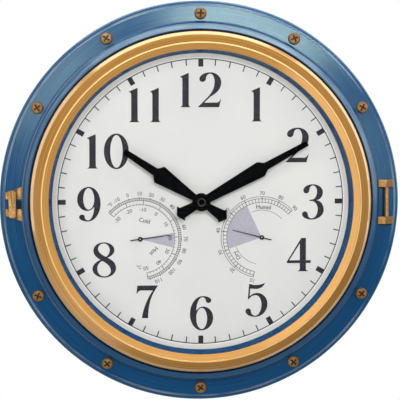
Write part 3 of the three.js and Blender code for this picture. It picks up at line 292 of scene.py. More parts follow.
def makeAgedBrass():
    brass = agedBrass
    finish, place = newFinish("aged_brass")
    mottle = place.grain(*brass["mottle"])
    drift = place.grain(*brass["drift"])
    scratch = place.scaled(*brass["scratchScale"]).grain(*brass["scratch"])
    base = mottle.rise(0.35, 0.66).tint(brass["dark"], brass["base"])
    base = (drift.rise(0.48, 0.7) * 0.6).tint(base, brass["bright"])
    # tarnish, and painted shade, where a piece's own layer says so
    sootAndShade = place.node("Attribute", {"attribute_name": "sootAndShade"}, None, "Fac")
    closeFinish(place, {
        "Base Color": sootAndShade.tint(base, brass["sootAndShade"]),
        "Roughness": brass["rough"] + mottle * 0.18 - drift * 0.1 + sootAndShade * 0.3,
        "Metallic": brass["metal"] - sootAndShade * brass["metal"], "Specular IOR Level": brass["specular"],
    }, mottle * 0.6 + scratch * 0.4, *brass["bump"])
    return finish


clearGlass = {
    "base": shade(20, 26, 26), "rough": 0.03, "ior": 1.5, "clear": 0.03, "glance": 0.5, "blend": 0.25,
    "ripple": (9, 2.0, 0.4), "bump": (0.02, 0.2),
}


def makeClearGlass():
    # almost clear from the front, with more of a reflection the flatter one looks along it
    glass = clearGlass
    finish, place = newFinish("clear_glass")
    glance = place.node("LayerWeight", None, {"Blend": glass["blend"]}, "Facing")
    closeFinish(place, {
        "Base Color": glass["base"], "Roughness": glass["rough"],
        "Alpha": glass["clear"] + glance ** 3 * glass["glance"], "IOR": glass["ior"],
    }, place.grain(*glass["ripple"]), *glass["bump"])
    return finish


dialPaint = {
    # the rim colour is a painted shade on the dial's raised rim
    "base": shade(227, 227, 224), "shadow": shade(217, 218, 216), "rim": shade(190, 187, 181),
    "rimEdge": 127.8, "rimSoft": 0.6, "rimShade": 0.7, "rough": 0.5, "cloud": (14, 3.0, 0.5),
    "fibre": (900, 2.0, 0.6), "bump": (0.02, 0.3),
}


def makeDialPaint():
    paint = dialPaint
    finish, place = newFinish("dial_paint")
    cloud = place.grain(*paint["cloud"])
    fibre = place.grain(*paint["fibre"])
    base = (cloud * 0.6 + fibre * 0.4).rise(0.3, 0.7).tint(paint["shadow"], paint["base"])
    # painted shade on the raised rim, down in the recess under the bezel
    x, z = place.axes()[::2]
    rim = ((x * x + z * z) ** 0.5).beyond(paint["rimEdge"], paint["rimSoft"])
    base = (rim * paint["rimShade"]).tint(base, paint["rim"])
    closeFinish(place, {
        "Base Color": base, "Roughness": paint["rough"] + fibre * 0.12,
    }, fibre, *paint["bump"])
    return finish


def makeInk(name, dark, light, rough):
    finish, place = newFinish(name)
    soak = place.grain(700, 3.0, 0.6)
    closeFinish(place, {
        "Base Color": soak.rise(0.3, 0.75).tint(dark, light), "Roughness": rough + soak * 0.1,
        "Specular IOR Level": 0.1,
    }, soak, 0.01, 0.3)
    return finish


def makeBlackEnamel(name, dark, light, rough, specular):
    finish, place = newFinish(name)
    mist = place.grain(1400, 2.0, 0.5)
    drift = place.grain(60, 2.0, 0.5)
    closeFinish(place, {
        "Base Color": mist.tint(dark, light), "Roughness": rough + drift * 0.12,
        "Specular IOR Level": specular,
    }, mist, 0.01, 0.4)
    return finish


def makeMoulded(name, base, light, rough, grainDepth, specular=0.3):
    # moulded plastic or rubber: a fine spark-eroded grain and faint flow marks
    finish, place = newFinish(name)
    spark = place.grain(1300, 3.0, 0.6)
    flow = place.grain(22, 3.0, 0.5)
    closeFinish(place, {
        "Base Color": (spark * 0.5 + flow * 0.5).rise(0.3, 0.7).tint(base, light),
        "Roughness": rough + spark * 0.14 + flow * 0.06, "Specular IOR Level": specular,
    }, spark, grainDepth, 0.5)
    return finish


def makeSteel(name, base, light, rough):
    finish, place = newFinish(name)
    rolled = place.scaled(60, 900, 1900).grain(1.0, 4.0, 0.6)
    stain = place.grain(70, 3.0, 0.5)
    closeFinish(place, {
        "Base Color": (rolled * 0.6 + stain * 0.4).rise(0.3, 0.7).tint(base, light),
        "Roughness": rough + rolled * 0.15, "Metallic": 1.0,
    }, rolled, 0.02, 0.4)
    return finish


def makeCopper():
    finish, place = newFinish("copper_winding")
    turns = place.node("TexWave", {"bands_direction": "X", "wave_profile": "SIN"}, {
        "Vector": place, "Scale": 900.0, "Distortion": 0.4})
    closeFinish(place, {
        "Base Color": turns.tint(shade(120, 50, 20), shade(206, 112, 58)), "Roughness": 0.3, "Metallic": 1.0,
    }, turns, 0.06, 0.8)
    return finish


def makeBoardGreen():
    finish, place = newFinish("board_green")
    tracks = place.node("TexBrick", None, {
        "Vector": place, "Scale": 260.0, "Color1": shade(20, 80, 46), "Color2": shade(26, 96, 56),
        "Mortar": shade(60, 130, 84)})
    closeFinish(place, {"Base Color": tracks, "Roughness": 0.42})
    return finish


batteryCan = {
    "steel": shade(176, 176, 174), "sleeve": shade(44, 48, 54), "collar": shade(150, 112, 62), "rough": 0.3,
    "sleeveEnds": (-24.6, 23.6), "collarEnds": (12, 23.6), "wrap": (500, 2.0, 0.5), "bump": (0.01, 0.4),
}


def makeBatteryCan():
    can = batteryCan
    finish, place = newFinish("battery_can")
    x = place.axes()[0]
    wrap = place.grain(*can["wrap"])
    sleeve = x.within(can["sleeveEnds"], 0.1)
    printed = x.within(can["collarEnds"], 0.1).tint(can["sleeve"], can["collar"])
    closeFinish(place, {
        "Base Color": sleeve.tint(can["steel"], printed), "Roughness": can["rough"] + wrap * 0.12,
        "Metallic": 1 - sleeve * 0.45,
    }, wrap, *can["bump"])
    return finish


finishes = {
    "frame_paint": makeSeaPaint(),
    "bezel_metal": makeBrushedGold(),
    "trim_brass": makeAgedBrass(),
    "lens_glass": makeClearGlass(),
    "dial_face": makeDialPaint(),
    "hand_black": makeBlackEnamel("black_enamel", shade(1, 1, 2), shade(3, 3, 5), 0.34, 0.01),
    "black_plastic": makeMoulded("housing_plastic", shade(24, 25, 27), shade(36, 37, 39), 0.42, 0.04),
    "white_plastic": makeMoulded("white_acetal", shade(226, 226, 218), shade(238, 238, 232), 0.34, 0.01),
    "black_rubber": makeMoulded("seal_rubber", shade(12, 12, 12), shade(22, 21, 20), 0.6, 0.03, 0.1),
    "plain_steel": makeSteel("plain_steel", shade(150, 152, 154), shade(184, 185, 184), 0.3),
    "copper_wire": makeCopper(),
    "green_board": makeBoardGreen(),
    "battery_can": makeBatteryCan(),
}
# a lighter black for the top of the hand nut's ring, which paints a highlight there
paintedHighlightBlack = makeBlackEnamel("painted_highlight_black", shade(36, 34, 33), shade(66, 62, 60), 0.3, 0.2)
numeralInk = makeInk("numeral_ink", shade(40, 38, 46), shade(56, 53, 60), 0.4)
scaleInk = makeInk("scale_ink", shade(92, 92, 96), shade(124, 124, 126), 0.5)
zoneInk = makeInk("zone_ink", shade(176, 174, 186), shade(188, 186, 197), 0.5)
for part in frame["record"]["subparts"]:
    node = frame["nodes"][part["node"]]
    for place in node.material_slots:
        place.material = finishes[part["material_slot"]]
print("finishes made:", len(bpy.data.materials))


# Making meshes

def rounded(shape, geom, size, segments, affect="EDGES", clamp=False):
    bmesh.ops.bevel(shape, geom=geom, offset=size * mm, offset_type="OFFSET", segments=segments,
                    profile=0.5, affect=affect, clamp_overlap=clamp, material=-1)


def profile(sizes, *rows):
    # the corners of an outline, where a name stands for its size in the piece's dictionary
    return [tuple(sizes.get(item, item) for item in row) for row in rows]


def roundCorners(shape, corners, verts, rounds):
    # each corner may carry the size of its rounding as a last number
    sizes = {}
    for corner, vert in zip(corners, verts):
        if len(corner) > 2 and corner[2]:
            sizes.setdefault(corner[2], []).append(vert)
    for size, group in sizes.items():
        rounded(shape, group, size, rounds, "VERTICES")


def ringShape(corners, segments, rounds=3):
    # corners are (radius, front, rounding), and a shape that touches the axis starts and ends on it
    shape = bmesh.new()
    verts = [shape.verts.new((corner[0] * mm, -corner[1] * mm, 0)) for corner in corners]
    for first, second in zip(verts, verts[1:]):
        shape.edges.new((first, second))
    if corners[0][0] or corners[-1][0]:
        shape.edges.new((verts[-1], verts[0]))
    roundCorners(shape, corners, verts, rounds)
    bmesh.ops.spin(shape, geom=shape.verts[:] + shape.edges[:], cent=(0, 0, 0), axis=(0, 1, 0),
                   dvec=(0, 0, 0), angle=2 * math.pi, steps=segments, use_merge=True)
    bmesh.ops.remove_doubles(shape, verts=shape.verts[:], dist=0.002 * mm)
    bmesh.ops.recalc_face_normals(shape, faces=shape.faces[:])
    return shape


def bevelCreases(shape, width, rounds=2, angle=creaseAngle):
    creases = [edge for edge in shape.edges if len(edge.link_faces) == 2 and edge.calc_face_angle() > angle]
    rounded(shape, creases, width, rounds, clamp=True)


def plateShape(corners, rear, front, edge=0.0, rounds=3):
    # a flat outline of (x, z, rounding) as thick as from rear to front
    shape = bmesh.new()
    verts = [shape.verts.new((corner[0] * mm, -rear * mm, corner[1] * mm)) for corner in corners]
    shape.faces.new(verts)
    roundCorners(shape, corners, verts, rounds)
    made = bmesh.ops.extrude_face_region(shape, geom=shape.faces[:])
    moved = [item for item in made["geom"] if isinstance(item, bmesh.types.BMVert)]
    bmesh.ops.translate(shape, verts=moved, vec=(0, -(front - rear) * mm, 0))
    bmesh.ops.recalc_face_normals(shape, faces=shape.faces[:])
    if edge:
        bevelCreases(shape, edge)
    return shape


def rodShape(radius, rear, front, x=0.0, z=0.0, sides=32):
    shape = bmesh.new()
    bmesh.ops.create_cone(shape, cap_ends=True, segments=sides, radius1=radius * mm, radius2=radius * mm,
                          depth=(front - rear) * mm)
    bmesh.ops.rotate(shape, verts=shape.verts[:], cent=(0, 0, 0), matrix=Matrix.Rotation(quarter, 3, "X"))
    bmesh.ops.translate(shape, verts=shape.verts[:], vec=(x * mm, -(rear + front) / 2 * mm, z * mm))
    return shape


def boxShape(x0, x1, z0, z1, rear, front, rounding=0.0, edge=0.0):
    corners = [(x0, z0, rounding), (x1, z0, rounding), (x1, z1, rounding), (x0, z1, rounding)]
    return plateShape(corners, rear, front, edge, 4)


def squareShape(half, rear, front, rounding, edge=0.0):
    return boxShape(-half, half, -half, half, rear, front, rounding, edge)


def joined(shapes):
    result = bmesh.new()
    for shape in shapes:
        copy = bpy.data.meshes.new("copy")
        shape.to_mesh(copy)
        result.from_mesh(copy)
        bpy.data.meshes.remove(copy)
        shape.free()
    return result


def turned(shape, matrix):
    bmesh.ops.transform(shape, matrix=matrix, verts=shape.verts[:])
    return shape


def roundAxis(angle):
    # a turn about the clock's axis, anticlockwise as the viewer sees it
    return Matrix.Rotation(-math.radians(angle), 4, "Y")


def placed(shape, x=0.0, z=0.0, angle=0.0):
    # turned about its own origin, then moved over the dial
    return turned(shape, Matrix.Translation((x * mm, 0, z * mm)) @ roundAxis(angle))


def objectOf(name, shape):
    mesh = bpy.data.meshes.new(name)
    shape.to_mesh(mesh)
    shape.free()
    piece = bpy.data.objects.new(name, mesh)
    bpy.context.scene.collection.objects.link(piece)
    return piece


def shapeOf(piece):
    # what an object's modifiers or its curve make of it, and the object goes
    graph = bpy.context.evaluated_depsgraph_get()
    mesh = bpy.data.meshes.new_from_object(piece.evaluated_get(graph))
    bpy.data.objects.remove(piece)
    shape = bmesh.new()
    shape.from_mesh(mesh)
    bpy.data.meshes.remove(mesh)
    return shape


def carved(shape, tool, operation="DIFFERENCE"):
    # the shape with a tool cut away or joined on
    body = objectOf("body", shape)
    cutter = objectOf("cutter", tool)
    boolean = body.modifiers.new("cut", "BOOLEAN")
    boolean.object = cutter
    boolean.operation = operation
    boolean.solver = "EXACT"
    made = shapeOf(body)
    bpy.data.objects.remove(cutter)
    return made


def wholeCopy(nodeName):
    # a copy of a solid from the frame with its flat faces whole again
    shape = bmesh.new()
    shape.from_mesh(frame["nodes"][nodeName].data)
    bmesh.ops.remove_doubles(shape, verts=shape.verts[:], dist=0.002 * mm)
    bmesh.ops.dissolve_limit(shape, angle_limit=math.radians(2), verts=shape.verts[:], edges=shape.edges[:])
    return shape


def softened(nodeName, edge, rounds=2):
    # the same with its edges rounded
    shape = wholeCopy(nodeName)
    bevelCreases(shape, edge, rounds)
    return shape


def finishPiece(name, shape, slotName, body, nodes=(), material=None):
    piece = objectOf(name, shape)
    mesh = piece.data
    mesh.materials.append(material or finishes[slotName])
    for face in mesh.polygons:
        face.use_smooth = True
        face.material_index = 0
    mesh.set_sharp_from_angle(angle=creaseAngle)
    # a wide face keeps its own slope right up to its rounded edges
    facing = piece.modifiers.new("facing", "WEIGHTED_NORMAL")
    facing.keep_sharp = True
    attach(piece, body)
    if nodes:
        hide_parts(*nodes)
    return piece


# Front frame

frameRing = {
    "rim": 177.8, "rimRear": 3.5, "rimFront": 17.0, "rimInner": 174.0, "grooveOuter": 173.9,
    "grooveFront": 16.7, "flangeOuter": 173.4, "flangeFront": 18.0, "flangeInner": 159.0,
    "flangeInnerFront": 20.0, "wall": 158.1, "wallFront": 25.6, "stepOuter": 157.2, "stepFoot": 26.5,
    "stepInner": 152.4, "stepFront": 30.6, "seatFront": 28.0, "ledgeOuter": 143.4, "ledgeInner": 134.9,
    "ledgeFront": 33.2, "dialOpening": 131.2, "dialClamp": 25.8, "pocket": 137.0, "pocketFront": 22.2,
    "pocketWall": 141.0, "underStep": 155.7, "underWall": 156.6, "underLip": 173.6, "sheet": 2.4,
    "screwCircle": 166.2, "screwHole": 2.5, "segments": 192,
}
flangeTilt = math.atan2(frameRing["flangeInnerFront"] - frameRing["flangeFront"],
                        frameRing["flangeOuter"] - frameRing["flangeInner"])


def flangeFront(radius):
    return frameRing["flangeFront"] + (frameRing["flangeOuter"] - radius) * math.tan(flangeTilt)


def onFlange(angle):
    # the origin goes to the screw circle, +X outwards down the flange's slope and -Y square to it
    circle = frameRing["screwCircle"]
    seat = Matrix.Translation((circle * mm, -flangeFront(circle) * mm, 0))
    return roundAxis(angle) @ seat @ Matrix.Rotation(flangeTilt, 4, "Z")


# every 30 degrees, clockwise from the top, but not where the hinge and the catch are
screwAngles = [90 - 30 * i for i in range(12) if i not in (3, 9)]


def makeFrontFrame():
    ring = frameRing
    underSeat = ring["seatFront"] - ring["sheet"]
    drop = ring["sheet"] / math.cos(flangeTilt)
    underFlange = ring["flangeFront"] - drop
    corners = profile(
        ring, ("rimInner", "rimRear", 0.4), ("rim", "rimRear", 1.4), ("rim", "rimFront", 3.3),
        ("grooveOuter", "grooveFront", 0.3), ("flangeOuter", "flangeFront", 0.6),
        ("flangeInner", "flangeInnerFront", 0.9), ("wall", "wallFront", 1.0), ("stepOuter", "stepFoot", 0.7),
        ("stepInner", "stepFront", 0.9), ("stepInner", "seatFront", 0.2), ("ledgeOuter", "seatFront", 0.2),
        ("ledgeOuter", "ledgeFront", 0.3), ("ledgeInner", "ledgeFront", 0.5),
        ("dialOpening", "dialClamp", 0.5), ("pocket", "dialClamp", 0.2), ("pocket", "pocketFront", 0.2),
        ("pocketWall", "pocketFront", 0.2), ("pocketWall", underSeat, 0.2), ("underStep", underSeat, 0.5),
        ("underWall", flangeFront(ring["underWall"]) - drop, 0.5), ("underLip", underFlange - 0.1, 0.2),
        ("rimInner", underFlange - 0.8, 0.2))
    shape = ringShape(corners, ring["segments"], 4)
    holes = [turned(rodShape(ring["screwHole"], -2 * ring["sheet"], ring["sheet"], sides=20), onFlange(angle))
             for angle in screwAngles]
    finishPiece("frame_shell", carved(shape, joined(holes)), "frame_paint", "case", ["front_frame"])


makeFrontFrame()
print("front frame made")


# Bezel, its gasket and the glass

bezelRing = {
    "outer": 150.8, "base": 28.3, "shoulder": 32.5, "chamferInner": 148.0, "chamferFront": 37.0,
    "ridgeOuter": 141.35, "ridgeFoot": 39.55, "crestOuter": 141.15, "crestInner": 140.1, "crestFront": 39.95,
    "inner": 134.6, "lipFront": 36.4, "lipRear": 35.8, "wallInner": 143.7, "segments": 240,
}
bezelSeal = {"inner": 151.1, "outer": 152.1, "rear": 28.3, "front": 29.5, "segments": 160}
flatGlass = {"radius": 142.0, "rear": 33.5, "front": 35.5, "segments": 160}


def makeBezel():
    corners = profile(
        bezelRing, ("outer", "base", 0.2), ("outer", "shoulder", 0.7), ("chamferInner", "chamferFront", 0.35),
        ("ridgeOuter", "ridgeFoot", 0.12), ("crestOuter", "crestFront", 0.15),
        ("crestInner", "crestFront", 0.25), ("inner", "lipFront", 0.2), ("inner", "lipRear", 0.12),
        ("wallInner", "lipRear", 0.2), ("wallInner", "base", 0.2))
    shape = ringShape(corners, bezelRing["segments"])
    finishPiece("gold_bezel", shape, "bezel_metal", "case", ["bezel_ring"])
    corners = profile(bezelSeal, ("inner", "rear", 0.1), ("outer", "rear", 0.1), ("outer", "front", 0.3),
                      ("inner", "front", 0.3))
    shape = ringShape(corners, bezelSeal["segments"], 2)
    finishPiece("bezel_seal", shape, "black_rubber", "case", ["bezel_gasket"])
    corners = profile(flatGlass, (0, "rear"), ("radius", "rear", 0.3), ("radius", "front", 0.3),
                      (0, "front"))
    finishPiece("flat_glass", ringShape(corners, flatGlass["segments"], 2), "lens_glass", "case", ["lens"])


makeBezel()
print("bezel and glass made")


# Dial plate

dialPlate = {
    "faceFront": 23.5, "faceRadius": 126.9, "bevelOuter": 130.8, "rimFront": 25.5, "rimOuter": 136.6,
    "faceRear": 22.7, "rimRear": 24.4, "handHole": 4.3, "gaugeHole": 1.6, "segments": 192,
}
gauges = {
    "thermometer": {"x": -53.8, "z": -33.0, "pointer": 7.7},
    "hygrometer": {"x": 54.2, "z": -32.0, "pointer": 165.5},
}


def makeDial():
    plate = dialPlate
    rear, front = plate["faceRear"] - 1, plate["faceFront"] + 1
    corners = profile(
        plate, (0, "faceRear"), ("faceRadius", "faceRear", 0.4), ("bevelOuter", "rimRear", 0.4),
        ("rimOuter", "rimRear", 0.15), ("rimOuter", "rimFront", 0.15), ("bevelOuter", "rimFront", 0.3),
        ("faceRadius", "faceFront", 0.3), (0, "faceFront"))
    holes = [rodShape(plate["handHole"], rear, front, sides=48)]
    for gauge in gauges.values():
        holes.append(rodShape(plate["gaugeHole"], rear, front, gauge["x"], gauge["z"], 24))
    shape = carved(ringShape(corners, plate["segments"]), joined(holes))
    finishPiece("dial_plate", shape, "dial_face", "case", ["dial"])


makeDial()
print("dial plate made")


# Print on the dial: thin layers of ink, each a closed mesh that stands a little proud of the face

printLayer = {"rear": 23.49, "front": 23.55, "arcStep": 2.5, "fanStep": 4, "capHeight": 0.72, "bold": 0.06}


def inkPlate(corners):
    return plateShape(corners, printLayer["rear"], printLayer["front"])


def inkArc(radius, width, start, end, x=0.0, z=0.0):
    # a stroke along an arc, from the start to the end angle
    rear, front = printLayer["rear"], printLayer["front"]
    shape = bmesh.new()
    inner, outer = radius - width / 2, radius + width / 2
    places = ((inner, rear), (outer, rear), (outer, front), (inner, front))
    section = shape.faces.new([shape.verts.new((along * mm, -ahead * mm, 0)) for along, ahead in places])
    turned(shape, roundAxis(start))
    full = abs(end - start) >= 360
    if full:
        shape.faces.remove(section)
    steps = max(4, round(abs(end - start) / printLayer["arcStep"]))
    bmesh.ops.spin(shape, geom=shape.verts[:] + shape.edges[:] + shape.faces[:], cent=(0, 0, 0),
                   axis=(0, 1, 0), dvec=(0, 0, 0), angle=-math.radians(end - start), steps=steps,
                   use_merge=full)
    bmesh.ops.recalc_face_normals(shape, faces=shape.faces[:])
    return placed(shape, x, z)


def inkTick(inner, outer, width, angle, x=0.0, z=0.0):
    half = width / 2
    corners = [(inner, -half), (outer, -half), (outer, half), (inner, half)]
    return placed(inkPlate(corners), x, z, angle)


def inkFan(radius, start, end, x, z):
    steps = max(6, round(abs(end - start) / printLayer["fanStep"]))
    corners = [(0, 0)]
    for i in range(steps + 1):
        angle = math.radians(start + (end - start) * i / steps)
        corners.append((radius * math.cos(angle), radius * math.sin(angle)))
    return placed(inkPlate(corners), x, z)


def curveShape(curve):
    # a flat text or outline as a closed layer of ink
    rear, front = printLayer["rear"], printLayer["front"]
    curve.extrude = (front - rear) / 2 * mm
    holder = bpy.data.objects.new("outline", curve)
    bpy.context.scene.collection.objects.link(holder)
    shape = shapeOf(holder)
    bmesh.ops.remove_doubles(shape, verts=shape.verts[:], dist=0.001 * mm)
    bmesh.ops.recalc_face_normals(shape, faces=shape.faces[:])
    # the curve lies in XY: stand it up, facing the viewer, on the dial's face
    middle = Matrix.Translation((0, -(front + rear) / 2 * mm, 0))
    return turned(shape, middle @ Matrix.Rotation(quarter, 4, "X"))


def inkText(words, height, radius, angle, x, z, tilt=None, bold=printLayer["bold"]):
    # words centred on a circle, their tops outwards unless they have a tilt of their own
    text = bpy.data.curves.new("words", "FONT")
    text.body = words
    text.size = height / printLayer["capHeight"] * mm
    text.align_x = "CENTER"
    text.align_y = "CENTER"
    text.resolution_u = 4
    text.offset = bold * mm
    across = radius * math.cos(math.radians(angle))
    up = radius * math.sin(math.radians(angle))
    return placed(curveShape(text), x + across, z + up, angle - 90 if tilt is None else tilt)


# Numerals: each outline starts at its first point and goes on with steps. "to" is straight, "hv" a quarter
# of an oval that leaves level and arrives upright, "vh" the reverse, and "via" bends towards a given
# corner. Millimetres from the lower left corner of the figure. The 9 is the 6 turned over.
figures = {
    "0": [
        [(0, 15.8), ("vh", 11, 31.5), ("hv", 22, 15.8), ("vh", 11, 0), ("hv", 0, 15.8)],
        [(5.6, 15.7), ("vh", 11.1, 1.3), ("hv", 16.6, 15.7), ("vh", 11.1, 30.1), ("hv", 5.6, 15.7)],
    ],
    "1": [
        [(0, 27.0), ("to", 7.0, 30.1), ("to", 7.75, 30.1), ("to", 7.75, 2.6), ("via", 7.75, 0.9, 9.3, 0.35),
         ("to", 9.3, 0), ("to", 0.3, 0), ("to", 0.3, 0.35), ("via", 2.05, 0.9, 2.05, 2.6), ("to", 2.05, 24.3),
         ("via", 2.05, 26.3, 0, 26.6), ("to", 0, 27.0)],
    ],
    "2": [
        [(1.2, 24.9), ("vh", 3.9, 22.3), ("hv", 7.1, 25.4), ("vh", 10.9, 29.5), ("hv", 14.7, 22.4),
         ("via", 14.7, 15.2, 8.6, 8.9), ("to", 0, 0.35), ("to", 0, 0), ("to", 18.7, 0), ("to", 20.5, 7.2),
         ("to", 20.0, 7.2), ("via", 18.8, 4.1, 16.3, 4.1), ("to", 5.6, 4.1), ("to", 11.4, 9.6),
         ("via", 20.6, 14.4, 20.6, 22.0), ("vh", 10.9, 30.8), ("hv", 1.2, 24.9)],
    ],
    "3": [
        [(1.1, 26.1), ("vh", 3.7, 23.4), ("hv", 6.5, 26.4), ("vh", 9.7, 30.4), ("hv", 13.3, 25.0),
         ("vh", 8.6, 17.9), ("to", 6.5, 17.7), ("to", 6.5, 16.7), ("to", 8.4, 16.6), ("hv", 14.0, 9.2),
         ("vh", 8.5, 1.2), ("hv", 5.2, 4.6), ("vh", 2.5, 7.4), ("hv", 0, 4.9), ("vh", 8.6, 0),
         ("hv", 19.4, 8.7), ("vh", 12.4, 17.3), ("hv", 18.6, 24.6), ("vh", 9.5, 31.5), ("hv", 1.1, 26.1)],
    ],
    "4": [
        [(0, 7.4), ("to", 11.6, 7.4), ("to", 11.6, 2.6), ("via", 11.6, 0.8, 9.7, 0.35), ("to", 9.7, 0),
         ("to", 19.0, 0), ("to", 19.0, 0.35), ("via", 17.1, 0.8, 17.1, 2.6), ("to", 17.1, 7.4),
         ("to", 21.4, 7.4), ("to", 21.4, 9.9), ("to", 17.1, 9.9), ("to", 17.1, 29.8), ("to", 12.9, 29.8),
         ("to", 0, 8.7), ("to", 0, 7.4)],
        [(2.2, 9.9), ("to", 11.6, 24.9), ("to", 11.6, 9.9), ("to", 2.2, 9.9)],
    ],
    "5": [
        [(3.3, 29.7), ("via", 10.5, 26.9, 17.7, 30.6), ("via", 15.6, 25.4, 9.8, 25.0),
         ("to", 4.3, 25.3), ("to", 3.8, 18.6), ("via", 6.6, 21.4, 10.6, 21.4), ("hv", 19.7, 11.6),
         ("vh", 8.5, 0), ("hv", 0, 5.2), ("vh", 2.5, 7.6), ("hv", 5.0, 4.9), ("vh", 8.8, 1.1),
         ("hv", 14.3, 11.2), ("vh", 9.3, 19.4), ("via", 5.2, 19.4, 2.9, 15.7), ("to", 2.1, 15.9),
         ("to", 3.3, 29.7)],
    ],
    "6": [
        [(11.3, 30.7), ("hv", 19.0, 26.9), ("vh", 16.5, 24.5), ("hv", 14.1, 26.6), ("vh", 11.2, 29.6),
         ("hv", 5.7, 17.7), ("via", 8.0, 21.3, 11.9, 21.3), ("hv", 20.7, 11.2), ("vh", 10.3, 0),
         ("hv", 0, 14.6), ("vh", 11.3, 30.7)],
        [(10.6, 20.1), ("hv", 15.3, 10.9), ("vh", 10.6, 1.2), ("hv", 5.6, 11.2), ("vh", 10.6, 20.1)],
    ],
    "7": [
        [(0.9, 29.1), ("to", 0.1, 21.9), ("to", 0.7, 21.9), ("via", 1.7, 24.6, 4.2, 24.7), ("to", 14.6, 24.7),
         ("via", 9.9, 17.6, 7.6, 11.0), ("via", 5.4, 4.6, 4.9, 0), ("to", 10.4, 0),
         ("via", 10.6, 11.6, 13.6, 19.0), ("via", 15.4, 23.4, 19.1, 28.7), ("to", 19.1, 29.1),
         ("to", 0.9, 29.1)],
    ],
    "8": [
        [(10.1, 31.4), ("hv", 19.5, 24.4), ("via", 19.5, 20.4, 13.4, 17.6), ("via", 20.9, 14.4, 20.9, 8.3),
         ("vh", 10.3, 0), ("hv", 0, 7.6), ("via", 0, 12.6, 7.1, 15.9), ("via", 0.85, 19.4, 0.85, 24.0),
         ("vh", 10.1, 31.4)],
        [(10.1, 30.3), ("hv", 5.0, 25.7), ("via", 5.0, 21.8, 11.9, 18.5), ("via", 15.3, 20.6, 15.3, 24.6),
         ("vh", 10.1, 30.3)],
        [(10.3, 1.1), ("hv", 16.3, 5.9), ("via", 16.3, 10.9, 8.6, 14.9), ("via", 4.3, 12.4, 4.3, 8.0),
         ("vh", 10.3, 1.1)],
    ],
}
sixSize = (20.7, 30.7)
numerals = [
    ("1", 44.7, 70.9), ("2", 75.4, 34.6), ("3", 90.2, -16.5), ("4", 76.7, -62.6), ("5", 39.8, -103.1),
    ("6", -9.7, -114.8), ("7", -57.3, -103.4), ("8", -96.1, -67.0), ("9", -109.4, -17.1), ("1", -100.6, 29.7),
    ("0", -85.7, 29.1), ("1", -63.6, 70.5), ("1", -44.9, 70.5), ("1", -18.4, 83.6), ("2", -2.5, 83.6),
]
ovalShare = 0.5523  # how far the handles of a quarter circle reach


def figureShape(figure):
    curve = bpy.data.curves.new("figure", "CURVE")
    curve.dimensions = "2D"
    curve.fill_mode = "BOTH"
    curve.resolution_u = 10
    turnedOver = figure == "9"
    for start, *steps in figures["6" if turnedOver else figure]:
        spline = curve.splines.new("BEZIER")
        spline.use_cyclic_u = True
        spline.bezier_points.add(len(steps) - 1)
        points = spline.bezier_points
        here = Vector(start)
        for i, (kind, *numbers) in enumerate(steps):
            there = Vector(numbers[-2:])
            across, up = there - here
            if kind == "to":
                leave, arrive = here + (there - here) / 3, there - (there - here) / 3
            elif kind == "via":
                corner = Vector(numbers[:2])
                leave, arrive = here + (corner - here) * 2 / 3, there + (corner - there) * 2 / 3
            else:
                level, upright = Vector((across * ovalShare, 0)), Vector((0, up * ovalShare))
                first, last = (level, upright) if kind == "hv" else (upright, level)
                leave, arrive = here + first, there - last
            points[i].handle_left_type = "FREE"
            points[i].handle_right_type = "FREE"
            points[i].co = (*(here * mm), 0)
            points[i].handle_right = (*(leave * mm), 0)
            points[(i + 1) % len(steps)].handle_left = (*(arrive * mm), 0)
            here = there
    shape = curveShape(curve)
    return placed(shape, *sixSize, 180) if turnedOver else shape


def makeNumerals():
    shapes = [placed(figureShape(figure), x, z) for figure, x, z in numerals]
    finishPiece("dial_numerals", joined(shapes), "hand_black", "case", material=numeralInk)


# the inner end and the width of a plain mark and of an hour's, and where both end
minuteTrack = {
    "circle": 126.35, "circleWidth": 0.8, "inner": (120.8, 119.4), "width": (0.95, 4.4), "outer": 126.1,
}


def makeMinuteTrack():
    track = minuteTrack
    shapes = [inkArc(track["circle"], track["circleWidth"], 0, 360)]
    for minute in range(60):
        hour = minute % 5 == 0
        shapes.append(inkTick(track["inner"][hour], track["outer"], track["width"][hour], 90 - 6 * minute))
    finishPiece("minute_track", joined(shapes), "hand_black", "case", material=numeralInk)


makeNumerals()
makeMinuteTrack()
print("numerals and minute track made")

# Gauge scales. Reach and width are given for a plain mark and for a tenth one, and words as what they say,
# height, radius, angle, tilt and boldness.
thermometerScale = {
    "rings": (36.4, 34.2, 30.5), "line": 0.5, "figureHeight": 3.4, "comfort": (-14.8, 10.6),
    "comfortRadius": 29.9,
    "celsius": {"zero": 57.6, "step": 2.73, "marks": range(-30, 51, 2), "figures": range(-30, 51, 10),
                "inner": 30.5, "reach": (32.0, 34.2), "width": (0.4, 0.6), "figureRadius": 26.2},
    "fahrenheit": {"zero": 106.1, "step": 1.517, "marks": range(-22, 123, 2), "figures": range(-10, 101, 10),
                   "inner": 34.2, "reach": (36.4, 37.3), "width": (0.7, 0.8), "figureRadius": 40.2},
    # the 110 stands clear of the hour's figure
    "words": [("110", 3.4, 40.2, -66, None, 0.06), ("°F", 3.4, 40.2, 131, None, 0.06),
              ("°C", 3.0, 25.2, -92.5, 0, 0.06), ("Cold", 3.7, 16.7, 76.5, None, 0.1),
              ("Hot", 3.8, 16.0, -41.5, None, 0.1)],
}
hygrometerScale = {
    "rings": (36.2, 34.4, 31.1), "line": 0.5, "figureHeight": 3.4, "comfort": (115.1, 199.0),
    "comfortRadius": 30.8, "wordArc": 24.2, "wordLine": 0.4, "wordArcs": [(42.9, 112.0), (200.0, 257.7)],
    # the strip's pull is not even, so the marks at 10, 20 and so on are not evenly spaced
    "percent": {"angles": (258, 228, 200, 170.8, 142, 115.2, 89.4, 64.2, 41.3), "marks": range(10, 91, 2),
                "figures": range(10, 91, 10), "inner": 31.1, "reach": (34.4, 36.2), "width": (0.5, 0.7),
                "figureRadius": 39.1},
    "words": [("Humid", 3.6, 26.8, 86.7, None, 0.12), ("Dry", 3.7, 27.2, 216, None, 0.1)],
}


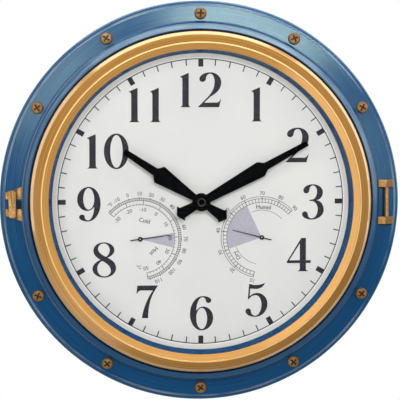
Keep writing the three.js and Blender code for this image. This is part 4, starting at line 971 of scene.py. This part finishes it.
def markAngle(row, value):
    if "zero" in row:
        return row["zero"] - row["step"] * value
    angles = row["angles"]
    i = min(value // 10 - 1, len(angles) - 2)
    return angles[i] + (angles[i + 1] - angles[i]) * (value / 10 - 1 - i)


def makeScale(name, scale, rowNames):
    x, z = gauges[name]["x"], gauges[name]["z"]
    rows = [scale[rowName] for rowName in rowNames]
    ends = [markAngle(rows[0], rows[0]["marks"][end]) for end in (-1, 0)]
    shapes = [inkArc(radius, scale["line"], *ends, x, z) for radius in scale["rings"]]
    for row in rows:
        for value in row["marks"]:
            ten = value % 10 == 0
            angle = markAngle(row, value)
            shapes.append(inkTick(row["inner"], row["reach"][ten], row["width"][ten], angle, x, z))
        for value in row["figures"]:
            angle = markAngle(row, value)
            shapes.append(inkText(str(value), scale["figureHeight"], row["figureRadius"], angle, x, z))
    for start, end in scale.get("wordArcs", []):
        shapes.append(inkArc(scale["wordArc"], scale["wordLine"], start, end, x, z))
    for words, height, radius, angle, tilt, bold in scale["words"]:
        shapes.append(inkText(words, height, radius, angle, x, z, tilt, bold))
    finishPiece(name + "_scale", joined(shapes), "hand_black", "case", material=scaleInk)
    zone = inkFan(scale["comfortRadius"], *scale["comfort"], x, z)
    finishPiece(name + "_zone", zone, "dial_face", "case", material=zoneInk)


makeScale("thermometer", thermometerScale, ("celsius", "fahrenheit"))
makeScale("hygrometer", hygrometerScale, ("percent",))
print("gauge scales made")


# Hands, the nut on them, and the two small pointers. A blade or a tail is given as places along it, half
# widths and roundings.

handSheet = {"thickness": 0.8, "hub": 8.0, "edge": 0.14, "hubSteps": 14}
hourHand = {
    "angle": 90 - 303.5, "rear": 28.2, "bore": 2.9,
    "blade": [(44.4, 8.3, 0.4), (48.3, 3.7, 0.6), (81.6, 2.5, 0.5)], "root": 3.1,
    "tail": [(21.3, 5.1, 0.3), (22.3, 7.0, 0.3)], "tailEnd": 27.5,
}
minuteHand = {
    "angle": 90 - 61.1, "rear": 30.4, "bore": 1.8,
    "blade": [(60.2, 7.1, 0.4), (65.3, 3.4, 0.6), (107.5, 2.3, 0.5)], "root": 3.8,
    "tail": [(19.3, 5.0, 0.3), (20.5, 7.5, 0.3)], "tailEnd": 24.8,
}
# a flared collar, a raised ring and the shaft's end in a hollow, then a grey cap on the ring's top that
# paints its highlight
handNut = {
    "body": [(0, 31.4), (7.3, 31.4, 0.08), (7.2, 31.65, 0.1), (4.3, 32.3, 0.3), (3.8, 32.9, 0.25),
             (2.9, 33.0, 0.2), (2.5, 32.4, 0.2), (1.5, 32.3, 0.1), (1.2, 32.7, 0.25), (0, 32.8)],
    "crown": [(2.7, 32.6), (3.7, 32.6), (3.65, 32.98, 0.1), (3.25, 33.08, 0.1), (2.75, 32.98, 0.1)],
    "segments": 64,
}
pointer = {
    "hub": 2.1, "hubSteps": 10, "root": 0.45, "blade": [(27.2, 0.22, 0.1)], "tail": [(8.9, 0.45, 0.1)],
    "eye": 0.75, "rear": 24.6, "front": 25.0, "edge": 0.06, "edgeAngle": 50,
}
# the arbor, riveted over in the pointer's eye
gaugeStaff = {
    "pivot": 0.45, "pivotFront": 10.1, "shaft": 0.9, "shaftFront": 24.3, "neck": 0.5, "neckRear": 24.4,
    "neckFront": 24.7, "rivet": 0.68, "rivetRear": 24.8, "front": 25.0, "segments": 24,
}


def bladeCorners(hub, hubSteps, hand):
    # the upper side from the tip over the hub to the tail, then the same mirrored back along the lower side
    start = math.asin(hand["root"] / hub)
    upper = list(reversed(hand["blade"]))
    for i in range(hubSteps + 1):
        angle = start + (math.pi - 2 * start) * i / hubSteps
        upper.append((hub * math.cos(angle), hub * math.sin(angle), 0))
    upper += [(-along, half, size) for along, half, size in hand["tail"]]
    lower = [(along, -half, size) for along, half, size in reversed(upper)]
    point = [(-hand["tailEnd"], 0, 0.4)] if "tailEnd" in hand else []
    return upper + point + lower


def makeHand(name, hand, body, node):
    rear, front = hand["rear"], hand["rear"] + handSheet["thickness"]
    corners = bladeCorners(handSheet["hub"], handSheet["hubSteps"], hand)
    shape = placed(plateShape(corners, rear, front, handSheet["edge"]), angle=hand["angle"])
    shape = carved(shape, rodShape(hand["bore"], rear - 1, front + 1))
    finishPiece(name, shape, "hand_black", body, [node])


def makeHandNut():
    shape = ringShape(handNut["body"], handNut["segments"], 4)
    finishPiece("shaft_nut", shape, "hand_black", "minute_group", ["hand_nut"])
    # the crown is a painted highlight
    shape = ringShape(handNut["crown"], handNut["segments"])
    finishPiece("shaft_nut_crown", shape, "hand_black", "minute_group", [], paintedHighlightBlack)


def makePointer(name, gauge):
    rear, front = pointer["rear"], pointer["front"]
    body = name + "_group"
    corners = bladeCorners(pointer["hub"], pointer["hubSteps"], pointer)
    shape = carved(plateShape(corners, rear, front), rodShape(pointer["eye"], rear - 1, front + 1, sides=24))
    bevelCreases(shape, pointer["edge"], 2, math.radians(pointer["edgeAngle"]))
    shape = placed(shape, gauge["x"], gauge["z"], gauge["pointer"])
    finishPiece(name + "_needle", shape, "hand_black", body, [name + "_pointer"])
    arborRear = -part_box(name + "_arbor")[1].y / mm
    corners = profile(
        gaugeStaff, (0, arborRear), ("pivot", arborRear, 0.1), ("pivot", "pivotFront"),
        ("shaft", "pivotFront", 0.1), ("shaft", "shaftFront", 0.1), ("neck", "neckRear"),
        ("neck", "neckFront"), ("rivet", "rivetRear", 0.05), ("rivet", "front", 0.12), (0, "front"))
    arbor = placed(ringShape(corners, gaugeStaff["segments"]), gauge["x"], gauge["z"])
    finishPiece(name + "_staff", arbor, "plain_steel", body, [name + "_arbor"])


makeHand("hour_blade", hourHand, "hour_group", "hour_hand")
makeHand("minute_blade", minuteHand, "minute_group", "minute_hand")
makeHandNut()
for gaugeName, gaugePlace in gauges.items():
    makePointer(gaugeName, gaugePlace)
print("hands and pointers made")


# Screws in the flange: pan heads with a cross recess, each stopped at its own angle

panScrew = {
    "head": 5.4, "lift": 0.3, "rise": 2.8, "shoulder": 3.8, "shank": 2.2, "length": 9.5, "segments": 48,
    "recessReach": 3.4, "recessHalf": 0.8, "recessDepth": 2.0, "recessTaper": 0.62,
    # the head's tarnish, then painted shade down its round edge
    "turns": (4, 40, 58, 12, 72, 35, 20, 50, 26, 65), "soil": 0.5, "edgeShade": 0.85,
}


def sooted(shape, soil):
    # marks how much tarnish and painted shade there is, by a rule on a face and a place on it
    shape.normal_update()
    sootAndShade = shape.loops.layers.float_color.new("sootAndShade")
    for face in shape.faces:
        for corner in face.loops:
            level = soil(face, corner.vert.co)
            corner[sootAndShade] = (level, level, level, 1)
    return shape


def screwShape():
    screw = panScrew
    lift, shank, head = screw["lift"], screw["shank"], screw["head"]
    reach, half = screw["recessReach"], screw["recessHalf"]
    top, tip = lift + screw["rise"], lift - screw["length"]
    corners = [
        (0, tip), (shank, tip + 1, 0.3), (shank, lift, 0.1), (head, lift, 0.15), (head, lift + 1.2, 0.9),
        (screw["shoulder"], top - 0.4, 1.3), (0, top),
    ]
    shape = ringShape(corners, screw["segments"], 5)
    for across, up in ((reach, half), (half, reach)):
        arm = boxShape(-across, across, -up, up, top - screw["recessDepth"], top + 1, 0.2)
        # the recess narrows towards its floor
        floor = [vert for vert in arm.verts if vert.co.y > -(top - 1) * mm]
        bmesh.ops.scale(arm, vec=(screw["recessTaper"], 1, screw["recessTaper"]), verts=floor)
        shape = carved(shape, arm)

    def onHead(face, place):
        # painted shade, black, in the recess; brown on the head; and painted shade darker down its round edge
        middle = face.calc_center_median() / mm
        across, up = abs(middle.x), abs(middle.z)
        if -middle.y > 0.9 and max(across, up) < reach + 0.02 and min(across, up) < half + 0.02:
            return 1
        share = math.hypot(place.x, place.z) / mm / head
        return screw["soil"] + (screw["edgeShade"] - screw["soil"]) * min(1, max(0, (share - 0.7) / 0.25))

    return sooted(shape, onHead)


def makeScrews():
    pattern = objectOf("screw_pattern", screwShape())
    for i, angle in enumerate(screwAngles):
        shape = bmesh.new()
        shape.from_mesh(pattern.data)
        turn = Matrix.Rotation(math.radians(panScrew["turns"][i]), 4, "Y")
        turned(shape, onFlange(angle) @ turn)
        finishPiece(f"pan_screw_{i + 1:02d}", shape, "trim_brass", "case", [f"frame_screw_{i + 1:02d}"])
    bpy.data.objects.remove(pattern)


makeScrews()
print("screws made")


# Catch and hinge trim

def stretched(shape, held, factor, shift):
    # longer along X from the end that is held, then moved along X
    bmesh.ops.translate(shape, verts=shape.verts[:], vec=(-held, 0, 0))
    bmesh.ops.scale(shape, vec=(factor, 1, 1), verts=shape.verts[:])
    bmesh.ops.translate(shape, verts=shape.verts[:], vec=(held + shift * mm, 0, 0))
    return shape


def makeTrim():
    catchPlace = roundAxis(trim["catchTurn"])
    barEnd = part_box("keeper_bar")[1].x
    reach = trim["plateShade"] * mm

    def onPlate(face, place):
        # painted shade on the ends that face down, and a painted shadow beside the bar
        if face.normal.z < -0.4:
            return 0.7
        return 0.85 * (1 - min(1, (place.x - barEnd) / reach)) if place.x > barEnd - 0.01 * mm else 0

    for side in ("upper", "lower"):
        node = "keeper_plate_" + side
        plate = softened(node, trim["plateEdge"], 3)
        stretched(plate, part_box(node)[0].x, trim["plateStretch"], trim["plateShift"])
        for x in (barEnd, barEnd + reach):
            bmesh.ops.bisect_plane(plate, geom=plate.verts[:] + plate.edges[:] + plate.faces[:], dist=0,
                                   plane_co=(x, 0, 0), plane_no=(1, 0, 0))
        sooted(plate, onPlate)
        finishPiece("catch_plate_" + side, turned(plate, catchPlace), "trim_brass", "case", [node])
        node = "hinge_block_" + side
        lug = softened(node, trim["lugEdge"], 3)
        stretched(lug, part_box(node)[1].x, trim["lugStretch"], trim["lugShift"])
        # painted shade on the faces beyond its ridge
        sooted(lug, lambda face, place: 0.55 if face.normal.x > 0.08 else 0)
        finishPiece("hinge_lug_" + side, lug, "trim_brass", "case", [node])
    bar = wholeCopy("keeper_bar")
    uprights = [edge for edge in bar.edges if abs((edge.verts[0].co - edge.verts[1].co).normalized().y) > 0.9]
    rounded(bar, uprights, trim["barCorner"], 6)
    bevelCreases(bar, trim["barEdge"], 4)
    # painted shade on its right side and on its upper and lower faces
    sooted(bar, lambda face, place: 0.95 if face.normal.x > 0.25 or abs(face.normal.z) > 0.5 else 0)
    finishPiece("catch_bar", turned(bar, catchPlace), "trim_brass", "case", ["keeper_bar"])
    low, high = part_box("hinge_rod")
    half = (high.z - low.z) / 2 / mm
    radius = trim["rodRadius"]
    rod = ringShape([(0, -half), (radius, -half, 0.2), (radius, half, 0.2), (0, half)], 32)
    # from along the clock's axis to upright, then to its place
    middle = (low + high) / 2 + Vector((trim["rodShift"] * mm, 0, 0))
    turned(rod, Matrix.Translation(middle) @ Matrix.Rotation(quarter, 4, "X"))
    # painted shade on its right side
    sooted(rod, lambda face, place: 0.6 if face.normal.x > 0.3 else 0)
    finishPiece("hinge_bar", rod, "trim_brass", "case", ["hinge_rod"])


makeTrim()
print("catch and hinge made")


# Rear housing, its seals, the battery door and the hanger

rearHousing = {
    "panelRear": 2.6, "panelFront": 4.8, "footInner": 166.5, "footOuter": 175.5, "footFront": 3.2,
    "outer": 173.5, "inner": 171.1, "front": 14.3, "sealOuter": 160.0, "sealInner": 158.0, "sealFront": 15.0,
    "ribOuter": 136.0, "ribInner": 132.5, "ribFront": 24.1, "stiffenerHalf": 1.0, "stiffenerFront": 11.0,
    "boss": 5.2, "bossDepth": 14.3, "bossFront": -2.7, "bore": 2.6, "boreDepth": 10.4, "doorWall": 37.5,
    "doorWallFront": 6.9, "rebate": 34.0, "rebateFloor": 5.5, "opening": 29.3, "thumb": 8.0,
    "thumbDepth": 1.3, "hangerHalf": 14.0, "hangerLow": 100.0, "hangerHigh": 122.0, "ventHalf": 9.0,
    "ventWidth": 2.6, "ventPitch": 7.0, "pinRadius": 0.9, "pinReach": (32.5, 36.2), "pinFront": 3.3,
    "pinHeight": 32.2, "segments": 144,
}


def pinPair(sizes):
    # two pins on one line along X, one to each side
    pins = []
    place = Matrix.Translation((0, -sizes["pinFront"] * mm, sizes["pinHeight"] * mm))
    for side in (-1, 1):
        pin = rodShape(sizes["pinRadius"], *sizes["pinReach"], sides=20)
        pins.append(turned(pin, place @ Matrix.Rotation(side * quarter, 4, "Z")))
    return joined(pins)


def makeRearHousing():
    shell = rearHousing
    panelRear, panelFront, rebate = shell["panelRear"], shell["panelFront"], shell["rebate"]
    past = panelRear - 1, panelFront + 1  # right through the panel
    corners = profile(
        shell, (0, "panelRear"), ("footInner", "panelRear", 0.3), ("footInner", 0, 0.6),
        ("footOuter", 0, 0.6), ("footOuter", "footFront", 0.5), ("outer", "footFront", 0.3),
        ("outer", "front", 0.3),
        ("inner", "front", 0.3), ("inner", "panelFront", 0.8), ("sealOuter", "panelFront", 0.6),
        ("sealOuter", "sealFront", 0.3), ("sealInner", "sealFront", 0.3), ("sealInner", "panelFront", 0.6),
        ("ribOuter", "panelFront", 0.8), ("ribOuter", "ribFront", 0.4), ("ribInner", "ribFront", 0.4),
        ("ribInner", "panelFront", 0.8), (0, "panelFront"))
    added, cuts = [], []
    half = shell["stiffenerHalf"]
    for i in range(12):
        rib = boxShape(shell["ribOuter"] - 1, shell["sealInner"] + 1, -half, half, panelFront - 1,
                       shell["stiffenerFront"])
        added.append(placed(rib, angle=15 + 30 * i))
    for angle in screwAngles:
        boss = rodShape(shell["boss"], -shell["bossDepth"], shell["bossFront"])
        added.append(turned(boss, onFlange(angle)))
        cuts.append(turned(rodShape(shell["bore"], -shell["boreDepth"], 0, sides=24), onFlange(angle)))
    added.append(squareShape(shell["doorWall"], panelRear + 0.2, shell["doorWallFront"], 3.0))
    cuts.append(squareShape(rebate, panelRear - 1, shell["rebateFloor"], 1.2))
    cuts.append(boxShape(-shell["hangerHalf"], shell["hangerHalf"], shell["hangerLow"], shell["hangerHigh"],
                         *past, 1.5))
    half = shell["ventWidth"] / 2
    for gauge in gauges.values():
        left, right = gauge["x"] - shell["ventHalf"], gauge["x"] + shell["ventHalf"]
        for i in (-1, 0, 1):
            z = gauge["z"] + i * shell["ventPitch"]
            cuts.append(boxShape(left, right, z - half, z + half, *past, half * 0.98))
    shape = carved(ringShape(corners, shell["segments"]), joined(added), "UNION")
    shape = carved(shape, joined(cuts))
    shape = carved(shape, squareShape(shell["opening"], 0, shell["doorWallFront"] + 1, 1.0))
    thumb = rodShape(shell["thumb"], panelRear - 1, panelRear + shell["thumbDepth"], 0, -rebate, 40)
    shape = carved(carved(shape, thumb), pinPair(shell))
    finishPiece("back_shell", shape, "black_plastic", "case", ["rear_housing"])


frameSeal = {"width": 1.6, "slope": 0.25, "segments": 144}


def makeSeals():
    low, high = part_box("frame_gasket")
    outer = high.x / mm
    rear, front = -high.y / mm, -low.y / mm
    inner = outer - frameSeal["width"]
    corners = [(inner, rear, 0.3), (outer, rear, 0.3), (outer, front - frameSeal["slope"], 0.3),
               (inner, front, 0.3)]
    shape = ringShape(corners, frameSeal["segments"])
    finishPiece("frame_seal", shape, "black_rubber", "case", ["frame_gasket"])
    finishPiece("door_gasket", softened("door_seal", 0.25, 3), "black_rubber", "case", ["door_seal"])
    finishPiece("keyhole_plate", softened("hanger_plate", 0.2), "plain_steel", "case", ["hanger_plate"])


batteryDoor = {
    "half": 33.5, "rear": 2.5, "front": 4.1, "corner": 3.0, "edge": 0.25, "pinRadius": 0.6,
    "pinReach": (31.5, 35.7), "pinFront": 3.3, "pinHeight": 32.2, "grooves": 7, "groovePitch": 2.4,
    "grooveLength": 22.0, "grooveTaper": 1.5, "grooveHalf": 0.45, "grooveLow": 6.0, "panelSide": 4.0,
    "panelLow": 26.0, "panelHigh": 6.0, "panelDepth": 0.3,
}


def makeBatteryDoor():
    door = batteryDoor
    half, rear, deep = door["half"], door["rear"], door["grooveHalf"]
    shape = squareShape(half, rear, door["front"], door["corner"], door["edge"])
    # the grooves for a fingernail are pressed into the rear face, above the thumb notch
    grooves = []
    for i in range(door["grooves"]):
        z = -half + door["grooveLow"] + i * door["groovePitch"]
        side = (door["grooveLength"] - abs(i - door["grooves"] // 2) * door["grooveTaper"]) / 2
        grooves.append(boxShape(-side, side, z - deep, z + deep, rear - 1, rear + deep, 0.4))
    shape = carved(shape, joined(grooves))
    # a fine line round its flat part
    side, low, high = half - door["panelSide"], -half + door["panelLow"], half - door["panelHigh"]
    line = carved(boxShape(-side, side, low, high, rear - 1, rear + door["panelDepth"], 2.5),
                  boxShape(-side + 1, side - 1, low + 1, high - 1, rear - 2, rear + 1, 2.0))
    shape = carved(carved(shape, line), pinPair(door), "UNION")
    finishPiece("battery_cover", shape, "black_plastic", "door_group", ["battery_door"])


makeRearHousing()
makeSeals()
makeBatteryDoor()
print("rear housing made")


# What shows behind the battery door, and on the hands' axis

dryCell = {
    "radius": 7.1, "edge": 0.5, "nub": 2.7, "nubLength": 1.2, "endPlate": 4.5, "endGroove": (4.7, 5.9),
    "curl": 6.2, "frontGroove": (6.0, 5.7), "segments": 64,
}
fixingWasher = {"inner": 4.4, "outer": 7.5, "rear": 23.8, "front": 24.3, "segments": 64}


def makeMovementTrim():
    cell = dryCell
    low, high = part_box("battery")
    middle = (low + high) / 2
    half = (high.x - low.x) / 2 / mm
    end = half - cell["nubLength"]
    grooveInner, grooveOuter = cell["endGroove"]
    frontOuter, frontInner = cell["frontGroove"]
    corners = profile(
        cell, (0, -half), ("endPlate", -half, 0.2), (grooveInner, -half + 0.3, 0.1),
        (grooveOuter, -half + 0.3, 0.1), ("curl", -half, 0.2), ("radius", -half, "edge"),
        ("radius", end, "edge"), (frontOuter, end, 0.15), (frontInner, end - 0.35, 0.1),
        ("nub", end - 0.2, 0.3), ("nub", half, 0.35), (0, half))
    shape = ringShape(corners, cell["segments"])
    # the cell's front end points to +X
    turned(shape, Matrix.Translation(middle) @ Matrix.Rotation(quarter, 4, "Z"))
    finishPiece("dry_cell", shape, "battery_can", "case", ["battery"])
    for name, node, edge, slotName in (
            ("movement_back", "movement_case_rear", 0.3, "black_plastic"),
            ("movement_front", "movement_case_front", 0.2, "black_plastic"),
            ("fixing_nut", "dial_nut", 0.2, "trim_brass")):
        finishPiece(name, softened(node, edge), slotName, "case", [node])
    corners = profile(fixingWasher, ("inner", "rear", 0.06), ("outer", "rear", 0.06),
                      ("outer", "front", 0.12), ("inner", "front", 0.12))
    washer = ringShape(corners, fixingWasher["segments"], 2)
    finishPiece("fixing_washer", washer, "trim_brass", "case", ["dial_washer"])


makeMovementTrim()
print("movement trim made")


# Stage: a pale floor well below the clock, a white surround, and soft studio lamps

studio = {
    "cameraDistance": 1.9, "cameraAzimuth": -4.0, "cameraElevation": 4.0, "aimFront": 13.0, "aimUp": 0.75,
    "lens": 192.0, "floorHeight": -1.3, "floorSize": 5.0, "floor": (0.8, 0.8, 0.79, 1),
    "floorSeen": (0.3, 0.3, 0.3, 1), "floorGlow": 0.9, "surround": 0.12,
}
lamps = {
    # name: (degrees off the dial's axis, degrees round it, distance, (length round the axis, width), glow)
    "key": (25, 65, 1.1, (0.46, 0.17), 22),
    "fill": (14, 140, 1.6, (0.5, 0.5), 4),
    "nearLeft": (22, 143, 1.4, (0.35, 0.25), 3.2),
    "nearRight": (27, 6, 1.2, (0.25, 0.2), 4),
    "right": (53, 0, 1.2, (0.7, 0.25), 0.6),
    "upRight": (53, 45, 1.2, (0.8, 0.25), 0.8),
    "up": (53, 90, 1.2, (0.8, 0.25), 1.2),
    "upLeft": (53, 135, 1.2, (0.8, 0.25), 3.2),
    "left": (53, 180, 1.2, (0.8, 0.25), 2.6),
    "lowLeft": (53, 225, 1.2, (0.7, 0.25), 3.4),
    "top": (85, 85, 1.2, (2.2, 0.5), 6.4),
    "sideRight": (85, 18, 1.2, (0.9, 0.5), 2.6),
    "behindTop": (121, 95, 1.2, (1.4, 0.6), 3.9),
    "behindRight": (121, 18, 1.2, (1.3, 0.6), 3.0),
    "behindLeft": (121, 165, 1.2, (1.2, 0.6), 2.2),
    "behindLow": (121, 320, 1.2, (1.1, 0.6), 1.6),
}


def emptied(tree):
    # a tree with nothing in it yet, and a mask of what the camera, gloss and glass see
    tree.nodes.clear()
    rays = Wire(tree).node("LightPath", None, None, "Is Camera Ray")
    return rays.larger(rays.part("Is Glossy Ray")).larger(rays.part("Is Transmission Ray"))


def makeStage():
    shape = bmesh.new()
    bmesh.ops.create_grid(shape, x_segments=1, y_segments=1, size=studio["floorSize"])
    bmesh.ops.translate(shape, verts=shape.verts[:], vec=(0, 0, studio["floorHeight"]))
    floor = objectOf("studio_floor", shape)
    finish = bpy.data.materials.new("pale_floor")
    finish.use_nodes = True
    seen = emptied(finish.node_tree)
    plain = seen.node("BsdfDiffuse", None, {"Color": studio["floor"]})
    dim = seen.node("BsdfDiffuse", None, {"Color": studio["floorSeen"]})
    glow = seen.node("Emission", None, {"Color": (1, 1, 1, 1), "Strength": studio["floorGlow"]})
    both = seen.node("AddShader", None, {0: dim, 1: glow})
    mixed = seen.node("MixShader", None, {0: seen, 1: plain, 2: both})
    seen.node("OutputMaterial", None, {"Surface": mixed})
    floor.data.materials.append(finish)
    world = bpy.data.worlds.new("surround")
    bpy.context.scene.world = world
    world.use_nodes = True
    seen = emptied(world.node_tree)
    strength = seen * (1 - studio["surround"]) + studio["surround"]
    light = seen.node("Background", None, {"Color": (1, 1, 1, 1), "Strength": strength})
    seen.node("OutputWorld", None, {"Surface": light})


def makeLamps():
    for name, (offAxis, around, distance, (length, width), glow) in lamps.items():
        light = bpy.data.lights.new(name, "AREA")
        light.shape = "RECTANGLE"
        light.size = length
        light.size_y = width
        light.energy = glow * math.pi * length * width
        lamp = bpy.data.objects.new(name, light)
        bpy.context.scene.collection.objects.link(lamp)
        # straight ahead of the dial it shines along +Y: tip it up off the axis, then turn it round the axis
        place = roundAxis(around) @ Matrix.Rotation(math.radians(offAxis), 4, "Z")
        place = place @ Matrix.Translation((0, -distance, 0)) @ Matrix.Rotation(quarter, 4, "X")
        lamp.matrix_world = place @ Matrix.Rotation(quarter, 4, "Z")
        lamp.visible_camera = False


def makeCamera():
    azimuth = math.radians(studio["cameraAzimuth"])
    elevation = math.radians(studio["cameraElevation"])
    back = Vector((math.sin(azimuth) * math.cos(elevation), -math.cos(azimuth) * math.cos(elevation),
                   math.sin(elevation)))
    camera = bpy.data.objects.new("camera", bpy.data.cameras.new("camera"))
    bpy.context.scene.collection.objects.link(camera)
    aim = Vector((0, -studio["aimFront"], studio["aimUp"])) * mm
    camera.location = aim + back * studio["cameraDistance"]
    camera.rotation_euler = back.to_track_quat("Z", "Y").to_euler()
    camera.data.lens = studio["lens"]
    camera.data.sensor_width = 36
    bpy.context.scene.camera = camera


makeStage()
makeLamps()
makeCamera()
bpy.context.scene.view_settings.view_transform = "Standard"
print("stage made")
